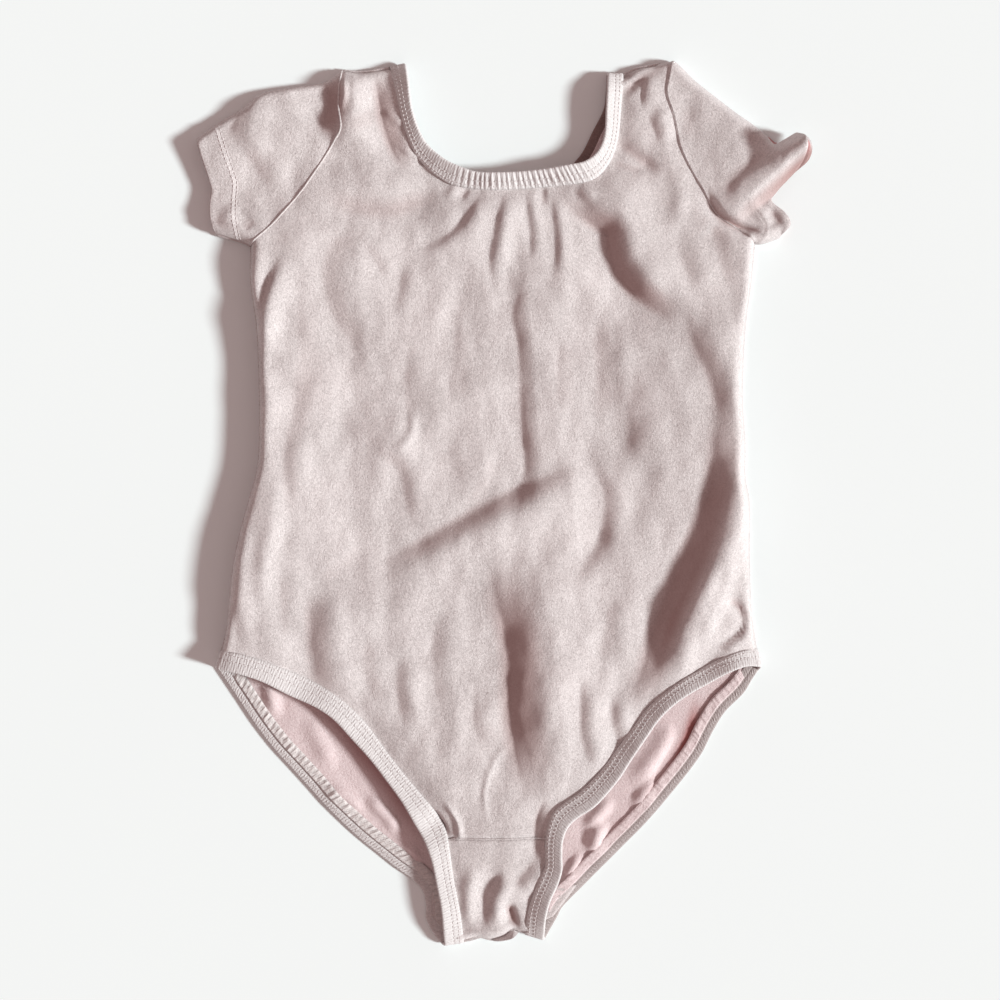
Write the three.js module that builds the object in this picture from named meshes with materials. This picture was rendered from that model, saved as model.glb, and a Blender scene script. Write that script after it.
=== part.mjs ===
// Child's short-sleeved gymnastics leotard in knitted jersey, laid flat with its front up.
//
// Frame: millimetres, +Z up out of the surface it lies on, +Y towards the neck, +X to the
// viewer's right. The origin is the middle of its footprint, on the surface it rests on.
//
// The garment is two layers of cloth. The back layer lies flat on the surface. The front layer
// lofts over it and comes down to it along the closed edges: the side seams, the shoulders, the
// folds of the sleeves and the crotch. Each open edge is finished with a folded binding over an
// elastic, which runs round the opening and turns over from layer to layer at the closed edges.

import * as THREE from 'three';

// ---------------------------------------------------------------------------------------------
// Driving dimensions, in millimetres
// ---------------------------------------------------------------------------------------------

// Body, measured flat
const BODY_LENGTH = 493.6; // shoulder fold to crotch fold
const CHEST_WIDTH = 280; // underarm to underarm
const WAIST_WIDTH = 271; // at the narrowest
const HIP_WIDTH = 303; // between the tops of the leg openings
const SHOULDER_SPAN = 186; // armhole to armhole along the shoulder folds
const ARMHOLE_DROP = 102; // shoulder fold down to the underarm
const WAIST_DROP = 100; // underarm down to the waist
const LEG_RISE = 154.5; // crotch fold up to the tops of the leg openings
const CROTCH_WIDTH = 57; // between the leg openings at the crotch fold

// Neck opening
const NECK_WIDTH = 112.5;
const FRONT_NECK_DROP = 61.5;
const BACK_NECK_DROP = 81.5;

// Sleeves
const CUFF_WIDTH = 53.8; // across the flat cuff
const CUFF_LEAN = 12; // degrees that the top of the cuff leans outwards
const UNDERARM_LIFT = 20; // degrees that the underarm fold lifts towards the cuff
const UNDERARM_SEAM_LENGTH = 3.3; // the seam that shows between the armhole and the hem
const HEM_DEPTH = 14;
const HEM_THREAD_WIDTH = 1.2;

// Gusset, measured from the crotch fold
const GUSSET_FRONT_RISE = 59.5;
const GUSSET_BACK_RISE = 32;

// Cloth, bands and seams
const FABRIC = 0.8; // body jersey
const PLY = 0.6; // one ply of the bindings
const ELASTIC_WIDTH = 6;
const ELASTIC_THICKNESS = 0.6;
const THREAD_WIDTH = 1.5;
const SEAM_WIDTH = 2;
const SEAM_THICKNESS = 2;
const CLEAR = 0.3; // between pieces that touch
const PLY_GAP = 0.5; // between a sleeve or the gusset and the ply inside it

// How far the front layer stands off the back one
const LOFT = 8;
const LOFT_RUN = 32; // distance from a closed edge over which it rises
const CUFF_RISE = 14; // extra height of the right cuff, which curls up
const CUFF_RUN = 18;
const CUFF_CURL = { inset: 10, along: 18, across: 17, share: 0.62 };

// Sideways shift of each level off the centre line, as the soft garment lies
const SHIFT = { neck: 1.25, shoulder: 1, chest: -1, waist: -1.5, hip: -8.5, crotch: -4.5 };

// What differs from side to side: the crown of the sleeve's top fold, the reach of the front leg
// curve's two handles, and the curl of the cuff
const SIDES = {
  left: { sign: -1, crown: 6, frontLeg: { hip: 52, crotch: 68 }, cuffRise: 0 },
  right: { sign: 1, crown: -5, frontLeg: { hip: 45, crotch: 58 }, cuffRise: CUFF_RISE },
};
const BACK_LEG = { hip: [33, 42], crotch: 23 }; // handles of the back leg curves
const ARMHOLE = { underarm: [20, 21], shoulder: 40 }; // handles of the armhole curves
const TURN_BLEND = 24; // length over which a band squares up to the fold it turns at
const ROW_CROWDING = 1.7; // how much closer the front panel's facets are near the shoulders

// Fineness of the facets
const STEPS = { neck: 16, leg: 17, armhole: 7, turn: 5, sleeve: 4, seam: 10, panelRows: 12, gusset: 5 };

// ---------------------------------------------------------------------------------------------
// Sizes that follow from these
// ---------------------------------------------------------------------------------------------

const BAND_WIDTH = PLY + CLEAR + ELASTIC_WIDTH + CLEAR + THREAD_WIDTH + CLEAR;
const BAND_THICKNESS = 2 * PLY + 2 * CLEAR + ELASTIC_THICKNESS;
const BAND_RUN = BAND_WIDTH + CLEAR; // from an open edge to the cloth that its band holds
const SEAM_RUN = SEAM_WIDTH + 2 * CLEAR;
const OUTER = -FABRIC / 2; // depths are measured inwards from the middle of the cloth
const INNER = FABRIC / 2;
const FOLD_RADIUS = Math.max(BAND_THICKNESS, SEAM_THICKNESS) + OUTER + CLEAR;
const BACK_MIDDLE = FABRIC / 2;
const FOLD_MIDDLE = BACK_MIDDLE + FOLD_RADIUS;
const EDGE_HEIGHT = BACK_MIDDLE + 2 * FOLD_RADIUS;
const BEAD_RADIUS = FOLD_RADIUS - FABRIC / 2 - CLEAR - 0.1;
const LINING_DEPTH = FABRIC + PLY_GAP; // middle of a second ply inside the first

const SHOULDER_Y = BODY_LENGTH / 2;
const CROTCH_Y = -BODY_LENGTH / 2;
const UNDERARM_Y = SHOULDER_Y - ARMHOLE_DROP;
const WAIST_Y = UNDERARM_Y - WAIST_DROP;
const HIP_Y = CROTCH_Y + LEG_RISE;
const GUSSET_FRONT_Y = CROTCH_Y + GUSSET_FRONT_RISE;
const GUSSET_BACK_Y = CROTCH_Y + GUSSET_BACK_RISE;
const HEM_RUN = HEM_DEPTH + CLEAR + HEM_THREAD_WIDTH;
const UNDERARM_LENGTH = SEAM_RUN + UNDERARM_SEAM_LENGTH + 2 * CLEAR + HEM_RUN;

// ---------------------------------------------------------------------------------------------
// Small tools for outlines
// ---------------------------------------------------------------------------------------------

const vec = (x, y) => new THREE.Vector2(x, y);
const mix = (a, b, t) => a.clone().lerp(b, t);
const smooth = (t) => THREE.MathUtils.smoothstep(t, 0, 1);

/** Cubic curve between two points, each with the handle that sets its direction there. */
function curveBetween(start, startHandle, endHandle, end) {
  return new THREE.CubicBezierCurve(start, start.clone().add(startHandle), end.clone().add(endHandle), end);
}

/**
 * Open edge of one layer: points along it, and at each one the direction into the cloth.
 * clothSide is 1 where the cloth is on the left of the way the curve runs, and -1 on the right.
 * At its two ends the direction swings round to those of the folds that it turns over.
 */
function clothEdge(curve, steps, clothSide, startAcross, endAcross) {
  const points = curve.getSpacedPoints(steps);
  const length = curve.getLength();
  const across = points.map((point, i) => {
    const before = points[Math.max(i - 1, 0)];
    const after = points[Math.min(i + 1, steps)];
    const heading = after.clone().sub(before).normalize();
    const square = vec(-heading.y, heading.x).multiplyScalar(clothSide);
    const fromStart = (length * i) / steps;
    square.lerp(startAcross, 1 - smooth(fromStart / TURN_BLEND));
    square.lerp(endAcross, 1 - smooth((length - fromStart) / TURN_BLEND));
    return square.normalize();
  });
  return { points, across };
}

/** The edge's points moved a given way into the cloth. */
function inset(edge, distance) {
  return edge.points.map((point, i) => point.clone().addScaledVector(edge.across[i], distance));
}

/** Point at a share of a polyline's length. */
function pointAlong(line, share) {
  const lengths = [0];
  for (let i = 1; i < line.length; i += 1) lengths.push(lengths[i - 1] + line[i].distanceTo(line[i - 1]));
  const target = THREE.MathUtils.clamp(share, 0, 1) * lengths.at(-1);
  const next = Math.max(1, lengths.findIndex((length) => length >= target - 1e-9));
  return mix(line[next - 1], line[next], (target - lengths[next - 1]) / (lengths[next] - lengths[next - 1]));
}

/** Evenly spaced points along a polyline. */
function resample(line, steps) {
  return Array.from({ length: steps + 1 }, (_, i) => pointAlong(line, i / steps));
}

/** Where a polyline that falls steadily in y passes a height. */
function pointAtHeight(line, y) {
  const next = line.findIndex((point) => point.y <= y);
  if (next < 0) return line.at(-1).clone();
  if (next === 0) return line[0].clone();
  return mix(line[next - 1], line[next], (y - line[next - 1].y) / (line[next].y - line[next - 1].y));
}

/** The part of a falling polyline that lies above a height. */
function above(line, y) {
  return [...line.filter((point) => point.y > y), pointAtHeight(line, y)];
}

/** A polyline shortened at its two ends. */
function trimmed(line, atStart, atEnd, steps) {
  const length = line.slice(1).reduce((sum, point, i) => sum + point.distanceTo(line[i]), 0);
  return Array.from({ length: steps + 1 }, (_, i) =>
    pointAlong(line, (atStart + (i / steps) * (length - atStart - atEnd)) / length));
}

// ---------------------------------------------------------------------------------------------
// Outlines of the two layers
// ---------------------------------------------------------------------------------------------

/** Everything on one side of the garment that the pieces are drawn from. */
function sideOutlines({ sign, crown, frontLeg, cuffRise }) {
  const place = (width, shift, y) => vec((sign * width) / 2 + shift, y);
  const outward = vec(sign, 0);
  const inward = vec(-sign, 0);
  const up = vec(0, 1);
  const down = vec(0, -1);

  const neck = place(NECK_WIDTH, SHIFT.neck, SHOULDER_Y);
  const shoulder = place(SHOULDER_SPAN, SHIFT.shoulder, SHOULDER_Y);
  const underarm = place(CHEST_WIDTH, SHIFT.chest, UNDERARM_Y);
  const waist = place(WAIST_WIDTH, SHIFT.waist, WAIST_Y);
  const hip = place(HIP_WIDTH, SHIFT.hip, HIP_Y);
  const crotch = place(CROTCH_WIDTH, SHIFT.crotch, CROTCH_Y);
  const hipCorner = hip.clone().addScaledVector(up, BAND_RUN);
  const flare = mix(waist, hip, 0.5);

  const sideSeam = new THREE.SplineCurve([underarm, waist, flare, hipCorner]).getSpacedPoints(24);

  const legEdge = (hipHandle, crotchHandle) => clothEdge(
    curveBetween(hip, hipHandle, vec(0, crotchHandle), crotch), STEPS.leg, -sign, up, inward);
  const frontLegEdge = legEdge(vec(-sign * frontLeg.hip, 0), frontLeg.crotch);
  const backLegEdge = legEdge(vec(-sign * BACK_LEG.hip[0], -BACK_LEG.hip[1]), BACK_LEG.crotch);

  const lift = THREE.MathUtils.degToRad(UNDERARM_LIFT);
  const underarmRun = vec(sign * Math.cos(lift), Math.sin(lift));
  const underarmOut = vec(sign * Math.sin(lift), -Math.cos(lift));
  const armhole = clothEdge(
    curveBetween(underarm, vec(-sign * ARMHOLE.underarm[0], ARMHOLE.underarm[1]),
      vec(0, -ARMHOLE.shoulder), shoulder),
    STEPS.armhole, -sign, underarmRun, outward);
  const sleeveStart = inset(armhole, SEAM_RUN);

  const lean = THREE.MathUtils.degToRad(CUFF_LEAN);
  const cuffFoot = underarm.clone().addScaledVector(underarmRun, UNDERARM_LENGTH);
  const cuffTop = cuffFoot.clone().addScaledVector(vec(sign * Math.sin(lean), Math.cos(lean)), CUFF_WIDTH);
  const fall = cuffTop.clone().sub(sleeveStart.at(-1)).normalize();
  const crownPoint = mix(sleeveStart.at(-1), cuffTop, 0.5)
    .addScaledVector(vec(-sign * fall.y, sign * fall.x), 2 * crown);
  const sleeveTop = new THREE.QuadraticBezierCurve(sleeveStart.at(-1), crownPoint, cuffTop);
  const sleeveFoot = new THREE.LineCurve(sleeveStart[0], cuffFoot);

  return {
    sign, outward, inward, up, down, neck, shoulder, underarm, hip, crotch, hipCorner,
    sideSeam, frontLegEdge, backLegEdge, armhole, underarmOut, sleeveStart, sleeveTop, sleeveFoot,
    cuffTop, cuffFoot, cuffRise,
  };
}

const left = sideOutlines(SIDES.left);
const right = sideOutlines(SIDES.right);

/** Neck edge of one layer, a single curve from shoulder to shoulder. */
function neckEdge(drop) {
  const handle = vec(0, (-drop * 4) / 3); // puts the middle of the curve at the drop
  return clothEdge(
    curveBetween(left.neck, handle, handle, right.neck), STEPS.neck, -1, left.outward, right.outward);
}

const frontNeckEdge = neckEdge(FRONT_NECK_DROP);
const backNeckEdge = neckEdge(BACK_NECK_DROP);

// ---------------------------------------------------------------------------------------------
// Height of the front layer
// ---------------------------------------------------------------------------------------------

const closedEdges = [left, right].flatMap((side) => [
  [...side.sideSeam, side.hip],
  [side.neck, side.shoulder],
  [side.shoulder, ...side.sleeveTop.getPoints(12)],
  [side.underarm, side.cuffFoot],
]);
closedEdges.push([left.crotch, right.crotch]);

/** Distance from a point to the nearest of some polylines. */
function distanceTo(lines, x, y) {
  const point = new THREE.Vector3(x, y, 0);
  const nearest = new THREE.Vector3();
  const piece = new THREE.Line3();
  let best = Infinity;
  for (const line of lines) {
    for (let i = 1; i < line.length; i += 1) {
      piece.start.set(line[i - 1].x, line[i - 1].y, 0);
      piece.end.set(line[i].x, line[i].y, 0);
      piece.closestPointToPoint(point, true, nearest);
      best = Math.min(best, nearest.distanceTo(point));
    }
  }
  return best;
}

/** Extra height where a cuff curls up, fading to nothing at the folds. */
function cuffCurl(side, x, y, fromFold) {
  if (side.cuffRise === 0) return 0;
  const middle = mix(side.cuffFoot, side.cuffTop, CUFF_CURL.share)
    .addScaledVector(side.inward, CUFF_CURL.inset);
  const reach = ((x - middle.x) / CUFF_CURL.across) ** 2 + ((y - middle.y) / CUFF_CURL.along) ** 2;
  const rise = Math.sin((Math.min(fromFold / CUFF_RUN, 1) * Math.PI) / 2);
  return side.cuffRise * Math.exp(-reach / 2) * rise;
}

/** Height of the middle of the front layer. */
function frontHeight(x, y) {
  const fromFold = distanceTo(closedEdges, x, y);
  const rise = Math.sin((Math.min(fromFold / LOFT_RUN, 1) * Math.PI) / 2);
  const curl = cuffCurl(left, x, y, fromFold) + cuffCurl(right, x, y, fromFold);
  return EDGE_HEIGHT + LOFT * rise + curl;
}

/**
 * A point of the cloth: its place in plan, and its depth inwards from the middle of the cloth.
 * station.turn runs from 0 to pi where the cloth turns over a fold, from front to back.
 */
function clothPoint(station, x, y, depth) {
  if (station.layer === 'front') return new THREE.Vector3(x, y, frontHeight(x, y) - depth);
  if (station.layer === 'back') return new THREE.Vector3(x, y, BACK_MIDDLE + depth);
  const radius = FOLD_RADIUS - depth;
  const reach = radius * Math.sin(station.turn);
  return new THREE.Vector3(
    x + reach * station.out.x, y + reach * station.out.y, FOLD_MIDDLE + radius * Math.cos(station.turn));
}

// ---------------------------------------------------------------------------------------------
// Solids
// ---------------------------------------------------------------------------------------------

/** Turns a closed mesh's faces the right way out, by the sign of its volume. */
function facingOut(geometry) {
  const position = geometry.attributes.position;
  const index = geometry.index.array;
  const corner = [new THREE.Vector3(), new THREE.Vector3(), new THREE.Vector3()];
  let volume = 0;
  for (let i = 0; i < index.length; i += 3) {
    corner.forEach((point, k) => point.fromBufferAttribute(position, index[i + k]));
    volume += corner[0].dot(corner[1].cross(corner[2]));
  }
  if (volume < 0) {
    for (let i = 0; i < index.length; i += 3) [index[i], index[i + 1]] = [index[i + 1], index[i]];
  }
  geometry.computeVertexNormals();
  return geometry;
}

/** Closed ring: a section carried round a loop of stations. placeAt gives each corner's point. */
function ringSolid(stations, section, placeAt) {
  const closed = [...section, section[0]];
  const geometry = new THREE.LatheGeometry(closed.map(() => vec(1, 0)), stations.length);
  closed.forEach((corner, j) => {
    for (let i = 0; i <= stations.length; i += 1) {
      const point = placeAt(stations[i % stations.length], corner);
      geometry.attributes.position.setXYZ(i * closed.length + j, point.x, point.y, point.z);
    }
  });
  return facingOut(geometry);
}

/** Closed slab over a grid. placeAt gives the point at column i, row j and side -1 or 1. */
function slabSolid(columns, rows, placeAt) {
  const geometry = new THREE.BoxGeometry(1, 1, 1, columns, rows, 1);
  const position = geometry.attributes.position;
  for (let k = 0; k < position.count; k += 1) {
    const i = Math.round((position.getX(k) + 0.5) * columns);
    const j = Math.round((position.getY(k) + 0.5) * rows);
    const point = placeAt(i, j, Math.sign(position.getZ(k)));
    position.setXYZ(k, point.x, point.y, point.z);
  }
  return facingOut(geometry);
}

/** Stations round an opening: the front edge, the fold at its end, the back edge and the other fold. */
function openingStations(front, back, startOut, endOut) {
  const along = (edge, layer) => edge.points.map((point, i) => ({ layer, point, across: edge.across[i] }));
  const turns = Array.from({ length: STEPS.turn - 1 }, (_, k) => ((k + 1) * Math.PI) / STEPS.turn);
  const fold = (edge, i, out) => turns.map((turn) => (
    { layer: 'fold', turn, out, point: edge.points.at(i), across: edge.across.at(i) }));
  return [
    ...along(front, 'front'),
    ...fold(front, -1, endOut),
    ...along(back, 'back').reverse(),
    ...fold(front, 0, startOut).reverse(),
  ];
}

/** A strip round an opening, with a section in distance from the edge and depth. */
function openingRing(stations, section) {
  return ringSolid(stations, section, (station, [distance, depth]) => clothPoint(
    station,
    station.point.x + distance * station.across.x,
    station.point.y + distance * station.across.y,
    depth));
}

const box = (near, far, outer, inner) => [[near, outer], [far, outer], [far, inner], [near, inner]];

// Sections of the finished edges: the binding is folded over the elastic with its mouth towards
// the cloth, and the thread runs along the mouth
const CAVITY_OUTER = OUTER + PLY;
const BAND_INNER = OUTER + BAND_THICKNESS;
const CAVITY_INNER = BAND_INNER - PLY;
const BINDING_SECTION = [
  [0, OUTER], [BAND_WIDTH, OUTER], [BAND_WIDTH, CAVITY_OUTER], [PLY, CAVITY_OUTER],
  [PLY, CAVITY_INNER], [BAND_WIDTH, CAVITY_INNER], [BAND_WIDTH, BAND_INNER], [0, BAND_INNER],
];
const ELASTIC_NEAR = PLY + CLEAR;
const ELASTIC_FAR = ELASTIC_NEAR + ELASTIC_WIDTH;
const ELASTIC_SECTION = box(ELASTIC_NEAR, ELASTIC_FAR, CAVITY_OUTER + CLEAR, CAVITY_INNER - CLEAR);
const THREAD_SECTION = box(
  ELASTIC_FAR + CLEAR, ELASTIC_FAR + CLEAR + THREAD_WIDTH, CAVITY_OUTER + CLEAR, CAVITY_INNER - CLEAR);
const ARMHOLE_SECTION = box(CLEAR, CLEAR + SEAM_WIDTH, OUTER, OUTER + SEAM_THICKNESS);

/** Round bead of seam allowance and thread, inside a closed edge. */
function seamBead(line, height) {
  const path = new THREE.CatmullRomCurve3(line.map((point) => new THREE.Vector3(point.x, point.y, height)));
  const section = new THREE.Shape(new THREE.EllipseCurve(0, 0, BEAD_RADIUS, BEAD_RADIUS).getPoints(8).slice(0, 8));
  return new THREE.ExtrudeGeometry(section, { steps: line.length - 1, extrudePath: path });
}

// ---------------------------------------------------------------------------------------------
// Body panels
// ---------------------------------------------------------------------------------------------

const SEAM_HALF = SEAM_WIDTH / 2 + CLEAR; // from a seam's line to the cloth on either side

/** Leg side of a panel, from its hip corner down to a height. */
function panelLegEdge(edge, y) {
  return above(inset(edge, BAND_RUN), y);
}

/** Front panel: a lofted sheet stretched between its four sides. */
function frontPanel() {
  const join = (...lines) => lines.flatMap((line, i) => (i ? line.slice(1) : line));
  const top = [
    ...left.armhole.points,
    ...inset(frontNeckEdge, BAND_RUN),
    ...[...right.armhole.points].reverse(),
  ];
  const columns = top.length - 1;

  const bottomY = GUSSET_FRONT_Y + SEAM_HALF;
  const leftLeg = panelLegEdge(left.frontLegEdge, bottomY);
  const rightLeg = panelLegEdge(right.frontLegEdge, bottomY).reverse();
  const seamColumns = columns - (leftLeg.length - 1) - (rightLeg.length - 1);
  const bottom = join(leftLeg, resample([leftLeg.at(-1), rightLeg[0]], seamColumns), rightLeg);

  const rows = STEPS.panelRows;
  const shares = Array.from({ length: rows + 1 }, (_, j) => 1 - (1 - j / rows) ** ROW_CROWDING);
  const sideLine = (side) => shares.map((share) => pointAlong([...side.sideSeam].reverse(), share));
  const leftSide = sideLine(left);
  const rightSide = sideLine(right);
  const planPoint = (i, j) => {
    const u = i / columns;
    const v = shares[j];
    const point = mix(bottom[i], top[i], v).add(mix(leftSide[j], rightSide[j], u));
    return point.sub(mix(mix(bottom[0], bottom[columns], u), mix(top[0], top[columns], u), v));
  };
  return slabSolid(columns, rows, (i, j, side) => {
    const { x, y } = planPoint(i, j);
    return new THREE.Vector3(x, y, frontHeight(x, y) + (side * FABRIC) / 2);
  });
}

/** Back panel: flat cloth on the surface, cut to its outline. */
function backPanel() {
  const bottomY = GUSSET_BACK_Y + SEAM_HALF;
  const outline = [
    ...panelLegEdge(left.backLegEdge, bottomY),
    ...panelLegEdge(right.backLegEdge, bottomY).reverse(),
    ...[...right.sideSeam].reverse().slice(1),
    ...right.armhole.points.slice(1),
    ...inset(backNeckEdge, BAND_RUN).reverse(),
    ...[...left.armhole.points].reverse(),
    ...left.sideSeam.slice(1, -1),
  ];
  return new THREE.ExtrudeGeometry(new THREE.Shape(outline), { depth: FABRIC, bevelEnabled: false });
}

/** Crotch piece: runs down the front, over the crotch fold and up the back, at a given depth. */
function gussetPly(depth, frontY, backY) {
  const rowsDown = Array.from({ length: STEPS.gusset + 1 }, (_, k) => (
    { layer: 'front', y: THREE.MathUtils.lerp(frontY, CROTCH_Y, k / STEPS.gusset) }));
  const rowsOver = Array.from({ length: STEPS.turn - 1 }, (_, k) => (
    { layer: 'fold', y: CROTCH_Y, out: left.down, turn: ((k + 1) * Math.PI) / STEPS.turn }));
  const rowsUp = Array.from({ length: STEPS.gusset + 1 }, (_, k) => (
    { layer: 'back', y: THREE.MathUtils.lerp(CROTCH_Y, backY, k / STEPS.gusset) }));
  const rows = [...rowsDown, ...rowsOver, ...rowsUp];
  const edgeOf = (side, row) => {
    const edge = row.layer === 'front' ? side.frontLegEdge : side.backLegEdge;
    return pointAtHeight(inset(edge, BAND_RUN + CLEAR), row.y).x;
  };
  const columns = STEPS.gusset;
  return slabSolid(columns, rows.length - 1, (i, j, side) => {
    const row = rows[j];
    const x = THREE.MathUtils.lerp(edgeOf(left, row), edgeOf(right, row), i / columns);
    return clothPoint(row, x, row.y, depth + (side * FABRIC) / 2);
  });
}

/** Seam across the crotch, between the gusset and a panel. */
function gussetSeam(layer, y) {
  const edgeOf = (side, height) => {
    const edge = layer === 'front' ? side.frontLegEdge : side.backLegEdge;
    return pointAtHeight(inset(edge, BAND_RUN + CLEAR), height).x;
  };
  const columns = STEPS.gusset;
  return slabSolid(columns, 1, (i, j, side) => {
    const height = y + (j - 0.5) * SEAM_WIDTH;
    const x = THREE.MathUtils.lerp(edgeOf(left, height), edgeOf(right, height), i / columns);
    return clothPoint({ layer }, x, height, side < 0 ? OUTER : OUTER + SEAM_THICKNESS);
  });
}

// ---------------------------------------------------------------------------------------------
// Sleeves
// ---------------------------------------------------------------------------------------------

/**
 * One ply of a sleeve: a flattened tube towards the cuff. Each of its rows is a function that
 * turns the length of a line down the sleeve into a share of the way to the cuff.
 */
function sleevePly(side, rows, outerDepth, innerDepth) {
  const last = side.sleeveStart.length - 1;
  const planPoint = (i, v) => {
    const u = i / last;
    const cuff = mix(side.cuffFoot, side.cuffTop, u);
    const point = mix(side.sleeveStart[i], cuff, v)
      .add(mix(side.sleeveFoot.getPoint(v), side.sleeveTop.getPoint(v), u));
    return point.sub(mix(
      mix(side.sleeveStart[0], side.cuffFoot, v), mix(side.sleeveStart[last], side.cuffTop, v), u));
  };
  const outAt = (i, v) => {
    if (i === 0) return side.underarmOut;
    const heading = side.sleeveTop.getTangent(v);
    return vec(-side.sign * heading.y, side.sign * heading.x);
  };
  const lengthAt = (i) => planPoint(i, 1).distanceTo(planPoint(i, 0));
  const columns = side.sleeveStart.map((_, i) => i);
  const turns = Array.from({ length: STEPS.turn - 1 }, (_, k) => ((k + 1) * Math.PI) / STEPS.turn);
  const stations = [
    ...columns.map((i) => ({ layer: 'front', i })),
    ...turns.map((turn) => ({ layer: 'fold', turn, i: last })),
    ...columns.map((i) => ({ layer: 'back', i })).reverse(),
    ...turns.map((turn) => ({ layer: 'fold', turn, i: 0 })).reverse(),
  ];
  const outerWall = rows.map((row) => [row, outerDepth]);
  const innerWall = rows.map((row) => [row, innerDepth]).reverse();
  return ringSolid(stations, [...outerWall, ...innerWall], (station, [row, depth]) => {
    const v = row(lengthAt(station.i));
    const { x, y } = planPoint(station.i, v);
    return clothPoint({ ...station, out: outAt(station.i, v) }, x, y, depth);
  });
}

/** Row at a distance from the cuff. */
const fromCuff = (distance) => (length) => 1 - distance / length;

/** Row at a share of the stretch between the armhole and the hem's thread. */
const beforeHem = (share) => (length) => share * (1 - HEM_RUN / length);

// The rows over the hem are the same for the sleeve and what lies inside it
const HEM_ROWS = [fromCuff(HEM_DEPTH), fromCuff(HEM_DEPTH / 2), fromCuff(0)];
const THREAD_ROWS = [fromCuff(HEM_RUN), fromCuff(HEM_DEPTH + CLEAR)];
const SLEEVE_ROWS = [
  ...Array.from({ length: STEPS.sleeve }, (_, k) => beforeHem(k / STEPS.sleeve)),
  ...THREAD_ROWS,
  ...HEM_ROWS,
];

const sleeve = (side) => sleevePly(side, SLEEVE_ROWS, OUTER, INNER);
const sleeveHem = (side) => sleevePly(side, HEM_ROWS, OUTER + LINING_DEPTH, INNER + LINING_DEPTH);
const hemStitching = (side) => sleevePly(side, THREAD_ROWS, OUTER + LINING_DEPTH, INNER + LINING_DEPTH);

// ---------------------------------------------------------------------------------------------
// Assembly
// ---------------------------------------------------------------------------------------------

const JERSEY = new THREE.MeshStandardMaterial({ color: 0xe6d4d2, roughness: 0.9, metalness: 0 });
const LINING = new THREE.MeshStandardMaterial({ color: 0xeee4e1, roughness: 0.95, metalness: 0 });
const ELASTIC = new THREE.MeshStandardMaterial({ color: 0xf0eeea, roughness: 0.7, metalness: 0 });
const THREAD = new THREE.MeshStandardMaterial({ color: 0xead9d7, roughness: 0.6, metalness: 0 });

const leotard = new THREE.Group();

/** Adds one named piece. */
function add(name, geometry, material) {
  const mesh = new THREE.Mesh(geometry, material);
  mesh.name = name;
  leotard.add(mesh);
}

add('front_panel', frontPanel(), JERSEY);
add('back_panel', backPanel(), JERSEY);
add('gusset', gussetPly(0, GUSSET_FRONT_Y - SEAM_HALF, GUSSET_BACK_Y - SEAM_HALF), JERSEY);
const liningGap = SEAM_HALF + SEAM_WIDTH;
add('gusset_lining', gussetPly(LINING_DEPTH, GUSSET_FRONT_Y - liningGap, GUSSET_BACK_Y - liningGap), LINING);
add('front_gusset_seam', gussetSeam('front', GUSSET_FRONT_Y), THREAD);
add('back_gusset_seam', gussetSeam('back', GUSSET_BACK_Y), THREAD);

const openings = {
  neck: openingStations(frontNeckEdge, backNeckEdge, left.up, right.up),
  left_leg: openingStations(left.frontLegEdge, left.backLegEdge, left.outward, left.down),
  right_leg: openingStations(right.frontLegEdge, right.backLegEdge, right.outward, right.down),
};
for (const [name, stations] of Object.entries(openings)) {
  add(`${name}_binding`, openingRing(stations, BINDING_SECTION), JERSEY);
  add(`${name}_elastic`, openingRing(stations, ELASTIC_SECTION), ELASTIC);
  add(`${name}_stitching`, openingRing(stations, THREAD_SECTION), THREAD);
}

for (const [name, side] of Object.entries({ left, right })) {
  const armholeStations = openingStations(side.armhole, side.armhole, side.underarmOut, side.up);
  add(`${name}_armhole_seam`, openingRing(armholeStations, ARMHOLE_SECTION), THREAD);
  add(`${name}_sleeve`, sleeve(side), JERSEY);
  add(`${name}_sleeve_hem`, sleeveHem(side), JERSEY);
  add(`${name}_hem_stitching`, hemStitching(side), THREAD);

  const sideLine = trimmed(side.sideSeam, BEAD_RADIUS, CLEAR, STEPS.seam)
    .map((point) => point.addScaledVector(side.inward, BEAD_RADIUS));
  add(`${name}_side_seam`, seamBead(sideLine, FOLD_MIDDLE), THREAD);

  const shoulderLine = trimmed(
    [side.neck, side.shoulder].map((point) => point.clone().addScaledVector(side.down, BEAD_RADIUS)),
    BAND_RUN + CLEAR, CLEAR, 2);
  add(`${name}_shoulder_seam`, seamBead(shoulderLine, FOLD_MIDDLE), THREAD);

  const underarmLine = trimmed([side.underarm, side.cuffFoot], SEAM_RUN + CLEAR, HEM_RUN + CLEAR, 2);
  add(`${name}_underarm_seam`, seamBead(underarmLine, FOLD_MIDDLE), THREAD);
}

// The origin goes to the middle of the footprint
const footprint = new THREE.Box3().setFromObject(leotard);
const middle = footprint.getCenter(new THREE.Vector3());
leotard.position.set(-middle.x, -middle.y, -footprint.min.z);

export default leotard;
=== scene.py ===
"""Child's short-sleeved gymnastics leotard in brushed knitted jersey, laid flat with its front up.

The garment is two layers of cloth joined at the sides, the shoulders and the crotch. Each open edge is
bound with a folded strip over elastic. Sizes are millimetres in the maker's frame: x across from the
centre line, y up towards the neck, z out of the table. Layout turns them into the frame's metres.
"""

import logging
import math
from dataclasses import dataclass
from enum import Enum
from typing import Sequence

import bmesh
import bpy
import numpy as np
from mathutils import Matrix, Vector, noise


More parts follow.
